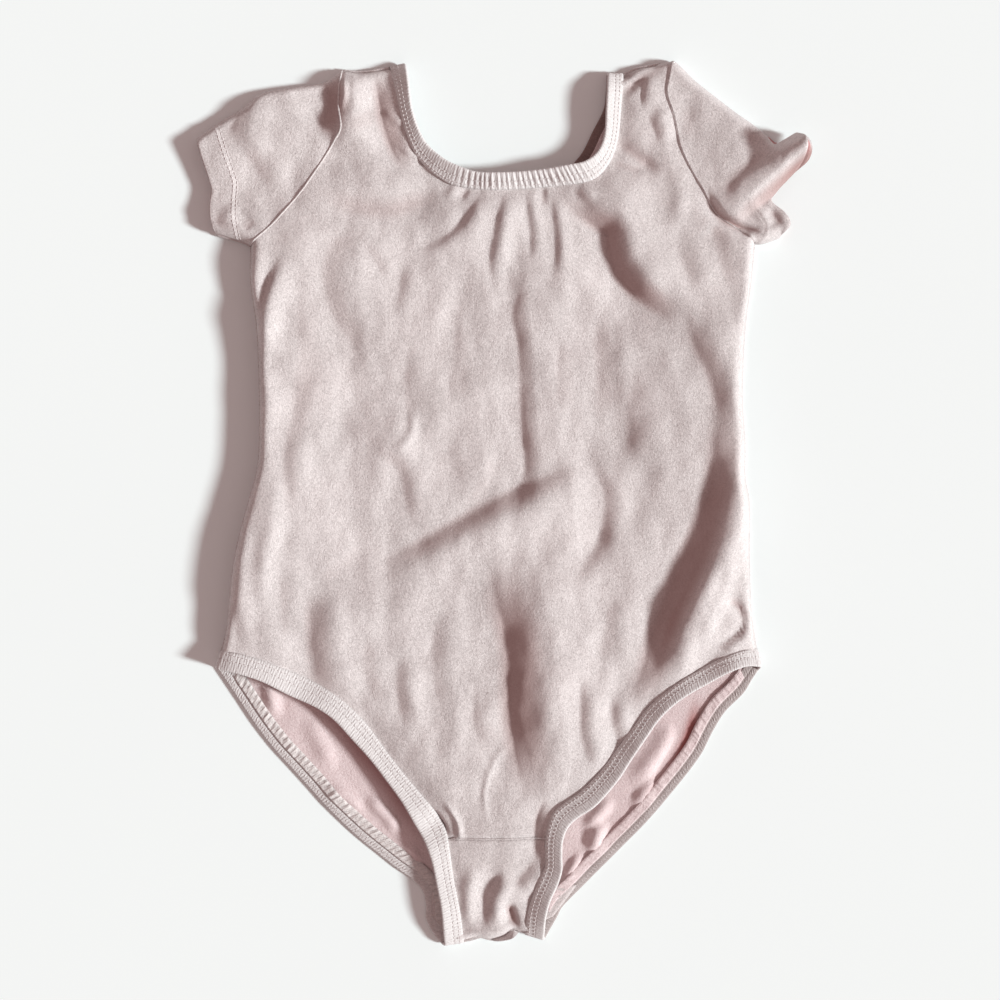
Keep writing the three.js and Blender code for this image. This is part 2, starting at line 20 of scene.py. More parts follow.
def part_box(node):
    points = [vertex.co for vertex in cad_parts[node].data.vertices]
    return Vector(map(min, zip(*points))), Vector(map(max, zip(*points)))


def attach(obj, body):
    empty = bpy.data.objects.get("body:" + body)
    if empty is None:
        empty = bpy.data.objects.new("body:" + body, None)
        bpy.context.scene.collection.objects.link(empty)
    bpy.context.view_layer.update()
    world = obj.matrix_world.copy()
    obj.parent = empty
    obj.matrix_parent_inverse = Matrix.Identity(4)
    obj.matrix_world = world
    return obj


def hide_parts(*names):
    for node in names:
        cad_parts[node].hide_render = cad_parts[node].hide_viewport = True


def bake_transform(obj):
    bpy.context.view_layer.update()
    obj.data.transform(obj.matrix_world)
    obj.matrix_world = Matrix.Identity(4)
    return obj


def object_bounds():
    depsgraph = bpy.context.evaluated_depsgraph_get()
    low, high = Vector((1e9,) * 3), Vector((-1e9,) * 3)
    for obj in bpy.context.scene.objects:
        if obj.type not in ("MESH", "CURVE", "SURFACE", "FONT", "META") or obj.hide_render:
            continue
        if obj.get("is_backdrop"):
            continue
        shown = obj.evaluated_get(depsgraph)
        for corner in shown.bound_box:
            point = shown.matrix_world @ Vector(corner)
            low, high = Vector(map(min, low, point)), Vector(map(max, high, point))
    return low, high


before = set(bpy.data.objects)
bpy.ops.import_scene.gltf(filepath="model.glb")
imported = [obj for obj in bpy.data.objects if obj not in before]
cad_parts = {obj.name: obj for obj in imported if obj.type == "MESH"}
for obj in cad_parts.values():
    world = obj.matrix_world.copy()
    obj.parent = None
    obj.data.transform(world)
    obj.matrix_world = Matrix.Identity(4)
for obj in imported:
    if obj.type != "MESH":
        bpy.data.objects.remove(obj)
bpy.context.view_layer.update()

log = logging.getLogger("leotard")

Marks = Sequence[Sequence[float]]
Colour = tuple[float, float, float]

TINY = 1e-9
MM = 0.001
BAND_WIDTH = 9.0
MERGE = 2e-6  # metres, the distance within which two corners are one


# --------------------------------------------------------------------------------------------------
# Lines and patches
# --------------------------------------------------------------------------------------------------


def travelled(line: np.ndarray, least: float = 0.0) -> np.ndarray:
    """Distance along a line at each of its points.

    Args:
        line: rows of a point's numbers.
        least: added to each step, so that the distance always grows.

    Returns:
        The distances, from 0.
    """
    steps = np.linalg.norm(np.diff(line, axis=0), axis=1) + least
    return np.concatenate([[0.0], np.cumsum(steps)])


def picked(at: np.ndarray | float, run: np.ndarray, line: np.ndarray) -> np.ndarray:
    """Places at given distances along a line.

    Args:
        at: the distances wanted.
        run: the distance at each of the line's points.
        line: rows of a point's numbers.

    Returns:
        The places, with a point's numbers last.
    """
    return np.stack([np.interp(at, run, line[:, k]) for k in range(line.shape[1])], axis=-1)


def ring(data: np.ndarray) -> np.ndarray:
    """Close a row of places by repeating its first."""
    return np.vstack([data, data[:1]])


def squared(line: np.ndarray, least: float = 0.0) -> np.ndarray:
    """Direction square to a flat line at each of its points, to the left as it is walked.

    Args:
        line: rows of x and y.
        least: added to each length, where points may coincide.

    Returns:
        The directions, each of length 1.
    """
    step = np.gradient(line, axis=0)
    return np.stack([-step[:, 1], step[:, 0]], 1) / (np.linalg.norm(step, axis=1)[:, None] + least)


def even(line: np.ndarray, count: int) -> np.ndarray:
    """Space points evenly along a line.

    Args:
        line: rows of a point's numbers.
        count: how many points to return.

    Returns:
        The evenly spaced points.
    """
    run = travelled(line[:, :2], TINY)
    return picked(np.linspace(0, run[-1], count), run, line)


def flowing(marks: Marks, count: int = 120) -> np.ndarray:
    """Draw a smooth line through a few marks.

    Args:
        marks: the points that it passes through.
        count: how many even points to return.

    Returns:
        The points of the line.
    """
    m = np.asarray(marks, float)
    ends = np.vstack([2 * m[0] - m[1], m, 2 * m[-1] - m[-2]])
    t = np.linspace(0, 1, 16, endpoint=False)[:, None]
    spans = [
        0.5 * (2 * b + (c - a) * t + (2 * a - 5 * b + 4 * c - d) * t**2 + (3 * b - a - 3 * c + d) * t**3)
        for a, b, c, d in zip(ends[:-3], ends[1:-2], ends[2:-1], ends[3:])
    ]
    return even(np.vstack([*spans, m[-1:]]), count)


def chained(*lines: np.ndarray) -> np.ndarray:
    """Join lines end to end, leaving out the points that they share."""
    return np.vstack([lines[0], *[line[1:] for line in lines[1:]]])


def beside(points: np.ndarray, line: np.ndarray) -> tuple[np.ndarray, np.ndarray]:
    """Measure points from a line.

    Args:
        points: rows of x and y.
        line: the line's points; walked downwards, its east side is the positive one.

    Returns:
        The signed distances, and how far along the line each nearest place is, from 0 to 1.
    """
    start, step = line[:-1, :2], np.diff(line[:, :2], axis=0)
    away = points[:, None, :] - start[None]
    share = np.clip((away * step).sum(2) / ((step**2).sum(1) + 1e-9), 0, 1)
    gap = away - share[..., None] * step
    near = (gap**2).sum(2).argmin(1)
    rows = np.arange(len(points))
    best, way = gap[rows, near], step[near]
    side = np.where(best[:, 0] * -way[:, 1] + best[:, 1] * way[:, 0] < 0, -1.0, 1.0)
    return side * np.linalg.norm(best, axis=1), (near + share[rows, near]) / len(start)


def away_from(points: np.ndarray, line: np.ndarray) -> np.ndarray:
    """Distance of points from a line, taken in blocks to save memory."""
    blocks = [np.abs(beside(part, line)[0]) for part in np.array_split(points, max(1, len(points) // 6000))]
    return np.concatenate(blocks)


def patch(top: np.ndarray, bottom: np.ndarray, left: np.ndarray, right: np.ndarray) -> np.ndarray:
    """Fill four edges with a smooth patch.

    Args:
        top: points from left to right.
        bottom: as many points from left to right.
        left: points from top to bottom.
        right: as many points from top to bottom.

    Returns:
        The patch, row by row from the top.
    """
    u = np.linspace(0, 1, len(top))[None, :, None]
    v = np.linspace(0, 1, len(left))[:, None, None]
    across = (1 - u) * left[:, None] + u * right[:, None]
    down = (1 - v) * top[None] + v * bottom[None]
    corners = (1 - v) * ((1 - u) * top[0] + u * top[-1]) + v * ((1 - u) * bottom[0] + u * bottom[-1])
    return across + down - corners


def smooth(t: np.ndarray) -> np.ndarray:
    """Ease from 0 to 1."""
    t = np.clip(t, 0, 1)
    return t * t * (3 - 2 * t)


def ripple(points: np.ndarray, wide: float, tall: float, seed: float) -> np.ndarray:
    """Gentle unevenness of a cloth.

    Args:
        points: rows of x and y.
        wide: size of the ripples in x.
        tall: their size in y.
        seed: which ripples.

    Returns:
        A number near -1 to 1 for each point.
    """
    return np.array([noise.noise((x / wide, y / tall, seed)) for x, y in points]) * 1.6


# --------------------------------------------------------------------------------------------------
# Folds and the height of each layer
# --------------------------------------------------------------------------------------------------


class FoldKind(Enum):
    """Shapes that a crease in the cloth takes across its line."""

    RIDGE = "a rounded crest"
    VALLEY = "a rounded groove"
    TUCK = "a crest that drops steeply on its west side"


@dataclass(frozen=True)
class Fold:
    """One crease: its line, listed from the top down, and its size on each side of it."""

    kind: FoldKind
    rise: float
    west: float
    east: float
    line: Marks
    fade: float = 0.34

    def shape(self, points: np.ndarray) -> tuple[np.ndarray, np.ndarray]:
        """Height that the crease adds, and how much shade is painted at each point.

        Args:
            points: rows of x and y.

        Returns:
            The height and the weight of painted shade at each point.
        """
        marks = np.array([(*m[:2], m[2] if len(m) > 2 else 1.0) for m in self.line], float)
        drawn = flowing(marks, 6 + 10 * (len(marks) - 1))
        reach = 3.6 * max(self.west, self.east)
        near = np.all((points > drawn[:, :2].min(0) - reach) & (points < drawn[:, :2].max(0) + reach), axis=1)
        added, depth = np.zeros(len(points)), np.zeros(len(points))
        if not near.any():
            return added, depth
        apart, along = beside(points[near], drawn)
        ends = smooth(along / self.fade) * smooth((1 - along) / self.fade) if self.fade else 1.0
        scale = self.rise * np.interp(along, np.linspace(0, 1, len(drawn)), drawn[:, 2]) * ends
        west = apart < 0
        t = np.abs(apart) / np.where(west, self.west, self.east)
        if self.kind is FoldKind.TUCK:
            down = 0.62 - 0.95 * np.minimum(t, 1) ** 1.5 + 0.33 * smooth((t - 1) / 1.6)
            form = np.where(west, down, 0.62 * np.exp(-1.1 * t**2))
            # painted shade on the west slope, which faces away from the key light
            shade_weight = np.where(west, 0.27 * smooth(t / 0.7) * (1 - smooth((t - 0.9) / 0.5)), 0.0)
        elif self.kind is FoldKind.VALLEY:
            form = -np.exp(-1.6 * np.where(west, t / 2, t) ** 2)
            # painted shade down in the groove
            shade_weight = 0.6 * np.exp(-1.6 * t**2)
        else:
            form, shade_weight = np.exp(-1.6 * t**2), np.zeros(len(t))
        added[near], depth[near] = scale * form, scale * shade_weight
        return added, depth


def ridge(rise: float, west: float, east: float, *line: Sequence[float]) -> Fold:
    """A rounded crest."""
    return Fold(FoldKind.RIDGE, rise, west, east, line)


def valley(rise: float, west: float, east: float, *line: Sequence[float]) -> Fold:
    """A rounded groove."""
    return Fold(FoldKind.VALLEY, rise, west, east, line)


def tuck(rise: float, west: float, east: float, *line: Sequence[float]) -> Fold:
    """A crest that drops steeply on its west side."""
    return Fold(FoldKind.TUCK, rise, west, east, line)


@dataclass(frozen=True)
class Outline:
    """Edges of the two layers as they lie, each listed from the top down or from left to right."""

    left_top: Marks = (
        (-173, 206), (-157, 217), (-147, 223), (-137, 231), (-120, 234.5), (-103, 237), (-97, 240),
        (-90, 244), (-80, 243), (-67, 245), (-55, 247),
    )
    left_shoulder: Marks = ((-91, 244), (-80, 243), (-67, 245), (-61, 246))
    left_armhole: Marks = (
        (-91, 244), (-92, 232), (-92.5, 222), (-91, 210), (-95, 203), (-103, 190), (-112, 177),
    )
    left_underarm: Marks = ((-112, 177), (-122, 165), (-132, 154), (-142, 145))
    left_side: Marks = (
        (-142, 145), (-142, 125), (-139, 103), (-137.5, 80), (-137, 45), (-138, 22), (-143, 2),
        (-149, -20), (-153, -43), (-155.5, -70), (-160, -87),
    )
    left_sleeve_under: Marks = ((-142, 145), (-147, 147.5), (-154, 149.5), (-162, 152))
    left_cuff: Marks = (
        (-162, 152), (-164.5, 160), (-165, 168), (-164, 176), (-165, 180), (-169, 192), (-173, 206),
    )
    right_top: Marks = (
        (59, 243), (66, 240), (75, 245), (85, 247), (95, 249), (107, 238), (117, 230), (130, 220),
        (140, 213), (147, 207), (152, 201.5), (158, 204), (164, 207.5),
    )
    right_shoulder: Marks = ((66, 241), (75, 245), (85, 247), (94, 248.5))
    right_armhole: Marks = (
        (94, 248.5), (92, 238), (91, 230), (95, 218), (99, 200), (105, 187), (111, 177),
    )
    right_underarm: Marks = ((111, 177), (116, 168), (122, 160.5), (130, 155), (141, 147))
    right_side: Marks = (
        (141, 147), (139, 125), (136, 103), (134.5, 80), (134, 58), (135.5, 36), (135.5, 15),
        (138, 0), (138, -30), (139, -60), (142, -82),
    )
    right_sleeve_under: Marks = ((141, 147), (145, 147), (150, 148.5), (155, 150.5))
    right_cuff: Marks = (
        (155, 150.5), (160, 156), (157, 163), (150, 170), (153, 176), (159, 182.5), (164, 188),
        (166.5, 194), (166.5, 201), (164, 207.5),
    )
    right_cuff_back: Marks = (
        (155, 150.5), (160, 156), (156.5, 163), (149.5, 170), (152.5, 176), (158.5, 182),
        (165, 187.5), (171, 193), (172.5, 200), (170, 206), (164, 207.5),
    )
    crotch: Marks = (
        (-34, -249), (-27, -247.5), (-21, -246), (-15, -244), (-8, -245), (0, -243), (5, -239.5),
        (10, -241.5), (22, -245),
    )
    neck_open: Marks = (
        (-55, 247.5), (-53, 235), (-51, 220), (-47, 208), (-42, 200), (-33, 192.5), (-25, 188.5),
        (-15, 185.3), (0, 185), (20, 186.5), (36, 189), (45, 191), (52, 196.5), (56, 206),
        (57, 222), (58, 241),
    )
    neck_inner: Marks = (
        (-64, 245.5), (-60, 231), (-56.5, 215), (-51.5, 200), (-45, 190.5), (-36, 183),
        (-27, 178.6), (-12, 176.6), (0, 176.3), (30, 178.5), (49, 181.5), (58.5, 191), (63.5, 205),
        (65.5, 225), (67, 241),
    )
    back_neck: Marks = (
        (58, 243), (57.5, 232), (56, 222), (50, 210), (44, 198), (36, 189), (22, 176), (0, 167),
        (-22, 165), (-43, 171), (-58, 186), (-63, 205), (-63, 228), (-57, 247.5),
    )
    left_leg_open: Marks = (
        (-161, -92), (-150, -94), (-135, -99), (-120, -107), (-105, -114), (-95, -121), (-85, -132),
        (-75, -143), (-65, -156), (-57, -167), (-50, -179), (-44, -190), (-40.5, -200), (-38, -212),
        (-35, -228), (-33.5, -248),
    )
    left_leg_inner: Marks = (
        (-158, -82), (-145, -84.5), (-130, -89.5), (-115, -96), (-100, -104), (-89, -112),
        (-78, -123), (-67, -138), (-56, -152), (-47, -162.5), (-38, -173.5), (-32.5, -184),
        (-30.5, -195), (-28.5, -210), (-25, -228), (-22.5, -246.5),
    )
    left_leg_back: Marks = (
        (-162, -92), (-150, -110), (-140, -125), (-130, -138), (-120, -149), (-110, -160),
        (-100, -171), (-90, -181), (-80, -190), (-70, -198), (-60, -206), (-52, -211.5),
        (-46, -218), (-44, -226), (-44, -234), (-40, -242), (-35, -248.5),
    )
    right_leg_open: Marks = (
        (144, -91), (135, -90.5), (125, -94), (115, -99.5), (105, -105), (95, -112), (87, -120),
        (80, -130), (72, -142), (65, -153), (57, -163), (50, -170), (42, -175), (36, -180.5),
        (33, -188), (32.5, -197), (32.5, -205), (30, -213), (26, -222), (23.5, -232), (22.5, -245),
    )
    right_leg_inner: Marks = (
        (142, -81), (131, -82.5), (120, -87), (109, -93), (100, -98), (90, -105.5), (80, -115),
        (72, -126), (64, -137), (56, -148), (48.5, -156), (42, -162), (34, -167.5), (27, -174),
        (23.8, -185), (23.5, -196), (23.5, -202), (21, -208), (17, -218), (13.5, -230), (12, -242),
    )
    right_leg_back: Marks = (
        (144, -93), (140, -99), (135, -107), (125, -117), (118, -128), (112, -140), (105, -150),
        (97, -160), (87, -172), (78, -182), (68, -192), (58, -202), (48, -212), (38, -222),
        (32.5, -228), (30, -233), (26, -240), (23, -245.5),
    )
    gusset_front: float = -187.3
    gusset_back: float = -214.8


FRONT_FOLDS: tuple[Fold, ...] = (
    # left shoulder and strap
    tuck(10.5, 15, 12, (-85, 247), (-84, 234), (-83, 223), (-86, 212), (-90, 203), (-95, 196)),
    ridge(1.8, 2.5, 2.5, (-90, 240), (-89, 228), (-93, 218)),
    tuck(8.0, 14, 5, (-60, 247), (-57, 232), (-54, 216), (-49, 202), (-42, 192)),
    ridge(1.4, 2, 2.4, (-68, 220), (-61, 215), (-55, 212)),
    ridge(1.4, 2, 2.4, (-59, 199), (-51, 195), (-45, 193)),
    ridge(1.4, 2, 2.4, (-48, 191), (-40, 187), (-35, 184)),
    tuck(2.4, 12, 14, (-62, 215), (-73, 207), (-86, 199)),
    # left sleeve
    tuck(3.6, 12, 10, (-136, 230), (-138, 218), (-141, 207), (-146, 197)),
    tuck(2.2, 10, 10, (-140, 208), (-131, 194), (-121, 180)),
    ridge(1.6, 12, 12, (-116, 232), (-117, 212), (-124, 192)),
    valley(1.4, 4, 3, (-140, 160), (-146, 152)),
    tuck(3.2, 9, 8, (-158, 168), (-150, 158), (-142, 149)),
    # left armpit and chest
    tuck(4.6, 5, 8, (-119, 140), (-126, 126), (-131, 111), (-133, 95), (-133, 76)),
    tuck(2.6, 14, 14, (-84, 168), (-80, 148), (-86, 130), (-82, 112), (-72, 96), (-66, 80)),
    tuck(1.8, 7, 9, (-74, 152), (-67, 141), (-59, 127)),
    tuck(1.8, 6, 9, (-52, 138), (-52, 122), (-56, 103)),
    valley(2.0, 7, 8, (-108, 178), (-88, 168), (-64, 165), (-42, 172), (-28, 178)),
    ridge(2.0, 10, 10, (-98, 188), (-78, 181), (-58, 179), (-44, 183)),
    tuck(1.6, 16, 18, (-96, 128), (-98, 100), (-95, 70), (-92, 40)),
    # gathers under the neck band
    tuck(2.6, 5, 8, (-6, 178), (-12, 167), (-21, 154), (-33, 144), (-52, 136)),
    tuck(2.4, 5, 5, (8, 178), (3, 167), (-1, 150), (-3, 134), (0, 118)),
    tuck(2.2, 4, 4, (16, 178), (17, 165), (19, 150), (18, 132)),
    valley(1.4, 2, 2.4, (22, 180), (22, 166)),
    tuck(2.0, 4, 5, (30, 179), (31, 165), (33, 145), (32, 122)),
    tuck(2.2, 5, 5, (42, 180), (47, 174), (53, 170)),
    valley(1.2, 2, 2, (-19, 178), (-25, 170)),
    ridge(1.2, 3, 3, (-26, 178), (-33, 171)),
    # down the centre
    tuck(3.8, 9, 16, (8, 146), (12, 128), (17, 119), (14, 106), (17, 90), (18, 70), (19, 46),
         (21, 22), (17, 0), (12, -20)),
    tuck(11.0, 25, 20, (14, -22), (19, -45), (25, -66), (28, -86), (28, -108), (30, -130),
         (33, -148), (37, -166)),
    tuck(1.8, 14, 18, (-12, 112), (-14, 78), (-20, 44)),
    tuck(1.6, 12, 14, (-44, 88), (-42, 60), (-46, 38)),
    # right chest
    tuck(11.0, 13, 17, (38, 184), (46, 175), (56, 168), (65, 163), (70, 155), (71, 146), (74, 137),
         (80, 129), (89, 122), (99, 115), (108, 106)),
    valley(2.6, 4, 4, (61, 208), (68, 201), (77, 194), (89, 184)),
    valley(1.4, 3, 3, (58, 193), (68, 189), (80, 186)),
    tuck(2.8, 5, 6, (84, 240), (82, 230), (82, 221)),
    tuck(3.0, 6, 6, (86, 222), (89, 213), (93, 203)),
    valley(2.6, 2.4, 3.5, (95, 249), (80, 241), (70, 233), (64, 225)),
    ridge(1.6, 8, 6, (98, 198), (100, 182), (96, 160), (88, 146)),
    tuck(2.6, 13, 16, (64, 116), (65, 90), (66, 58), (63, 36)),
    tuck(2.2, 14, 16, (88, 82), (84, 50), (84, 14)),
    tuck(1.8, 14, 16, (46, 98), (44, 70), (46, 44)),
    tuck(2.8, 8, 12, (58, 40), (57, 26), (64, 10), (64, -8), (61, -24), (50, -41), (41, -58)),
    tuck(2.4, 10, 10, (124, 166), (130, 142), (136, 118)),
    tuck(1.8, 9, 10, (103, 150), (110, 134), (116, 120)),
    # right side
    tuck(5.2, 12, 11, (112, 112), (117, 94), (125, 78), (130, 60), (134, 40)),
    tuck(10.8, 19, 9, (135, 66), (136, 42), (134, 8), (127, -16), (120, -33), (113, -48),
         (106, -66), (100, -84), (93, -104), (84, -121), (76, -132)),
    tuck(3.0, 7, 8, (126, -6), (119, -28), (110, -48), (101, -66), (94, -86), (86, -104)),
    ridge(2.6, 5, 6, (131, -20), (124, -44), (114, -66), (108, -88)),
    tuck(4.2, 4, 6, (137, -54), (139, -62), (136, -72), (127, -80), (116, -88)),
    valley(3.0, 2.5, 3, (124, -53), (131, -57), (136, -66)),
    # across the middle
    tuck(5.4, 12, 15, (56, 17), (36, 7), (10, -4), (-15, -17), (-40, -31), (-76, -49)),
    ridge(1.4, 2.4, 3, (-51, 53), (-51, 43), (-54, 36), (-62, 28)),
    tuck(2.2, 9, 12, (-76, 42), (-52, 25), (-46, 4), (-41, -20)),
    tuck(1.8, 9, 12, (-112, -42), (-102, -34), (-88, -23), (-78, -15)),
    tuck(1.8, 10, 12, (-30, -2), (-18, 14), (-10, 34)),
    # left side and hip
    tuck(4.4, 16, 15, (-93, -44), (-93, -62), (-92, -80), (-90, -96), (-84, -112)),
    tuck(2.2, 12, 12, (-104, 96), (-105, 55), (-110, 25), (-109, 0), (-109, -24)),
    ridge(2.4, 8, 7, (-126, 30), (-128, -8), (-134, -38), (-137, -66)),
    tuck(1.6, 8, 8, (-118, -30), (-116, -56), (-116, -84)),
    tuck(3.4, 6, 7, (-141, 4), (-144, -18), (-146, -42), (-145, -62), (-142, -84)),
    tuck(2.0, 10, 12, (-66, -70), (-68, -92), (-60, -114)),
    # below the waist
    tuck(2.8, 8, 9, (-50, -84), (-52, -104), (-48, -126)),
    tuck(1.8, 10, 12, (-28, -58), (-30, -90), (-24, -122)),
    tuck(1.4, 8, 9, (-8, -98), (-9, -120), (-4, -140)),
    tuck(3.0, 7, 8, (50, -92), (50, -114), (51, -132), (58, -150)),
    tuck(2.8, 6, 7, (66, -104), (67, -122), (72, -138)),
    tuck(2.2, 10, 10, (70, -50), (66, -76), (60, -96)),
    ridge(0.9, 2.4, 2.4, (4, -132), (-6, -146), (-11, -163), (-8, -181)),
    valley(3.4, 2.5, 2, (-42, -170), (-36, -177), (-31, -186)),
    ridge(2.0, 2, 2.6, (-35, -166), (-28, -174), (-25, -183), (-28, -192)),
    tuck(5.0, 9, 5, (32, -166), (27, -180), (27, -195), (26, -207)),
    tuck(3.6, 7, 6, (24, -202), (17, -211), (10, -220)),
    tuck(4.6, 7, 6, (6, -208), (-3, -221), (-4, -240)),
    valley(5.0, 3, 3, (2, -222), (5, -232), (8, -243)),
    ridge(1.6, 5, 5, (-17, -200), (-20, -220), (-18, -242)),
)

CUFF_FOLDS: tuple[Fold, ...] = (
    # the curled cuff of the right sleeve
    Fold(FoldKind.TUCK, 15.0, 9, 13,
         ((122, 160, 0.1), (133, 170, 0.4), (146, 181, 0.75), (157, 191, 1.0), (171, 202, 1.25)), 0.0),
    valley(2.0, 5, 4, (152, 198), (142, 192), (130, 182), (119, 167)),
    valley(4.5, 3.5, 2.5, (112, 177), (117, 168), (122, 161), (131, 156), (139, 153), (145, 147)),
    valley(1.5, 3, 3, (148, 166), (152, 160), (155, 154)),
    ridge(1.5, 4, 4, (136, 172), (141, 164), (150, 158)),
    valley(1.2, 4, 4, (133, 215), (138, 206), (142, 199)),
    valley(1.0, 6, 6, (106, 228), (103, 214), (106, 200)),
)

BACK_FOLDS: tuple[Fold, ...] = (
    # what shows of the back layer inside the leg openings and the neck; the grooves here mostly paint shade,
    # as the layer cannot sink below its base
    ridge(3.4, 4, 4, (-133, -98), (-131, -108), (-129, -120)),
    valley(1.0, 3, 3, (-124, -100), (-122, -112), (-123, -126)),
    ridge(2.4, 7, 8, (-112, -118), (-103, -134), (-94, -150)),
    ridge(3.6, 5, 6, (-80, -164), (-72, -170), (-64, -178), (-58, -188)),
    ridge(2.4, 3, 5, (-100, -160), (-88, -166), (-78, -174)),
    ridge(2.4, 3, 3, (-56, -192), (-50, -198), (-48, -208)),
    ridge(4.0, 5, 6, (117, -102), (114, -110), (111, -118)),
    valley(5.0, 4, 5, (108, -104), (107, -118), (103, -134), (94, -152), (82, -166)),
    valley(4.6, 10, 10, (142, -94), (126, -110), (112, -130), (98, -152), (78, -174)),
    valley(7.0, 5, 6, (146, -88), (134, -98), (124, -110), (115, -124), (108, -140), (97, -156),
           (86, -168)),
    valley(4.0, 7, 7, (-128, -104), (-108, -112), (-92, -124), (-78, -142), (-62, -162),
           (-50, -184), (-44, -204)),
    valley(7.0, 6, 6, (-56, -196), (-50, -210), (-44, -224), (-38, -242)),
    ridge(4.6, 8, 8, (98, -118), (92, -134), (82, -148), (70, -160)),
    ridge(3.2, 4, 5, (90, -152), (80, -162), (72, -172)),
    ridge(4.2, 5, 5, (56, -178), (52, -188), (50, -198)),
    ridge(2.8, 4, 4, (62, -166), (54, -174), (44, -184)),
    ridge(2.4, 3, 3, (44, -196), (38, -206), (33, -216)),
)


@dataclass(frozen=True)
class Drape:
    """How high each layer stands above the table."""

    outline: Outline
    fold_height: float = 2.0
    turn: float = 3.2
    turn_height: float = 2.4
    back_turn: float = 2.4
    loft: float = 4.0
    run: float = 5.0
    dish: tuple[float, float] = (0.12, 0.07)
    dish_starts: tuple[float, float] = (-85, 62)
    dish_reach: tuple[float, float] = (50, 62)
    opening_dip: float = 1.6
    curl_height: float = 8.5
    curl_middle: tuple[float, float] = (169, 200)
    curl_reach: tuple[float, float] = (17, 13)
    ripples: tuple[tuple[float, float, float, float], ...] = (
        (1.3, 30, 42, 1.5), (0.65, 13, 20, 4.5), (0.3, 7.5, 10, 8.5), (0.1, 4, 5, 11.5),
    )

    def closed(self) -> np.ndarray:
        """Points along every closed edge, where the two layers meet."""
        o = self.outline
        left = chained(flowing(o.left_sleeve_under[::-1], 16), flowing(o.left_side, 90))
        right = chained(flowing(o.right_sleeve_under[::-1], 12), flowing(o.right_side, 90))
        return [flowing(o.left_top, 90), flowing(o.right_top, 90), left, right, flowing(o.crotch, 40)]

    def to_closed(self, points: np.ndarray) -> np.ndarray:
        """Distance from the nearest closed edge."""
        return np.min([away_from(points, line) for line in self.closed()], axis=0)

    def curl(self, points: np.ndarray) -> np.ndarray:
        """Lift of both layers where the right cuff curls up off the table."""
        far = np.linalg.norm((points - self.curl_middle) / np.array(self.curl_reach), axis=1)
        return self.curl_height * np.exp(-1.3 * far**2)

    @staticmethod
    def rounded(closed: np.ndarray, turn: float) -> np.ndarray:
        """Rise of a layer round its closed edge, from 0 at the edge to 1 a turn away."""
        return np.sqrt(np.clip(1 - (1 - np.minimum(closed / turn, 1)) ** 2, 0, 1))

    @staticmethod
    def creased(points: np.ndarray, folds: Sequence[Fold]) -> tuple[np.ndarray, np.ndarray]:
        """Sum of the heights of several creases, and of their painted shade weights."""
        shapes = [fold.shape(points) for fold in folds]
        return sum(s[0] for s in shapes), sum(s[1] for s in shapes)

    def front_layer(self, points: np.ndarray) -> tuple[np.ndarray, np.ndarray]:
        """Height of the front layer, and how much shade is painted at each point from its creases.

        Args:
            points: rows of x and y.

        Returns:
            The height of the layer's middle, and the painted shade weight.
        """
        o = self.outline
        closed = self.to_closed(points)
        joined = self.rounded(closed, self.turn)
        opened = np.min([away_from(points, flowing(line, 60)) for line in
                         (o.neck_inner, o.left_leg_inner, o.right_leg_inner)], axis=0)
        body = self.loft * np.sin(np.pi / 2 * np.minimum(closed / self.run, 1))
        body -= self.opening_dip * np.exp(-((opened / 7) ** 2))
        middle = smooth((points[:, 1] + 130) / 60) * smooth((175 - points[:, 1]) / 50)
        x = points[:, 0]
        body += middle * (self.dish[0] * np.clip(self.dish_starts[0] - x, 0, self.dish_reach[0])
                          + self.dish[1] * np.clip(x - self.dish_starts[1], 0, self.dish_reach[1]))
        folds, depth = self.creased(points, (*FRONT_FOLDS, *CUFF_FOLDS))
        folds += sum(size * ripple(points, *which) for size, *which in self.ripples)
        room = smooth(closed / 7)
        height = self.fold_height + self.curl(points) + joined * self.turn_height + body + folds * room
        return np.maximum(height, 1.6 + 1.4 * joined), depth * room

    def back_layer(self, points: np.ndarray) -> tuple[np.ndarray, np.ndarray]:
        """Height of the back layer, and how much shade is painted at each point from its creases.

        Args:
            points: rows of x and y.

        Returns:
            The height of the layer's middle, and the painted shade weight.
        """
        closed = self.to_closed(points)
        joined = self.rounded(closed, self.back_turn)
        folds, depth = self.creased(points, BACK_FOLDS)
        folds = folds + 0.35 * (1 + ripple(points, 14, 20, 12.5))
        low = self.fold_height - (self.fold_height - 0.5) * joined
        # creases never take this layer below its base, so its grooves mostly paint shade
        return low + self.curl(points) + np.maximum(folds, 0) * smooth(closed / 8), depth

    def depth(self, lay: np.ndarray) -> np.ndarray:
        """Painted shade weight of each place of a grid, from the front layer's creases."""
        return self.front_layer(lay[:, :, :2].reshape(-1, 2))[1].reshape(lay.shape[:2])

    def front(self, points: np.ndarray) -> np.ndarray:
        """Height of the front layer's middle."""
        return self.front_layer(points)[0]

    def back(self, points: np.ndarray) -> np.ndarray:
        """Height of the back layer's middle."""
        return self.back_layer(points)[0]


# --------------------------------------------------------------------------------------------------
# Frame and mesh making
# --------------------------------------------------------------------------------------------------


@dataclass(frozen=True)
class Layout:
    """Where the maker's centre line falls in the frame."""

    centre: float
    middle: float
    table: float

    @classmethod
    def from_frame(cls, neck_aside: float = 0.00125) -> "Layout":
        """Read the centre line off the neck band, the length off the whole garment.

        Args:
            neck_aside: how far the band's middle lies to the right of the centre line, in metres.

        Returns:
            The layout.
        """
        low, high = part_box("neck_binding")
        floor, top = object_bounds()
        return cls((low.x + high.x) / 2 - neck_aside, (floor.y + top.y) / 2, floor.z)

    def place(self, lay: np.ndarray) -> np.ndarray:
        """Turn the maker's millimetres into the frame's metres."""
        return lay * MM + np.array([self.centre, self.middle, self.table])


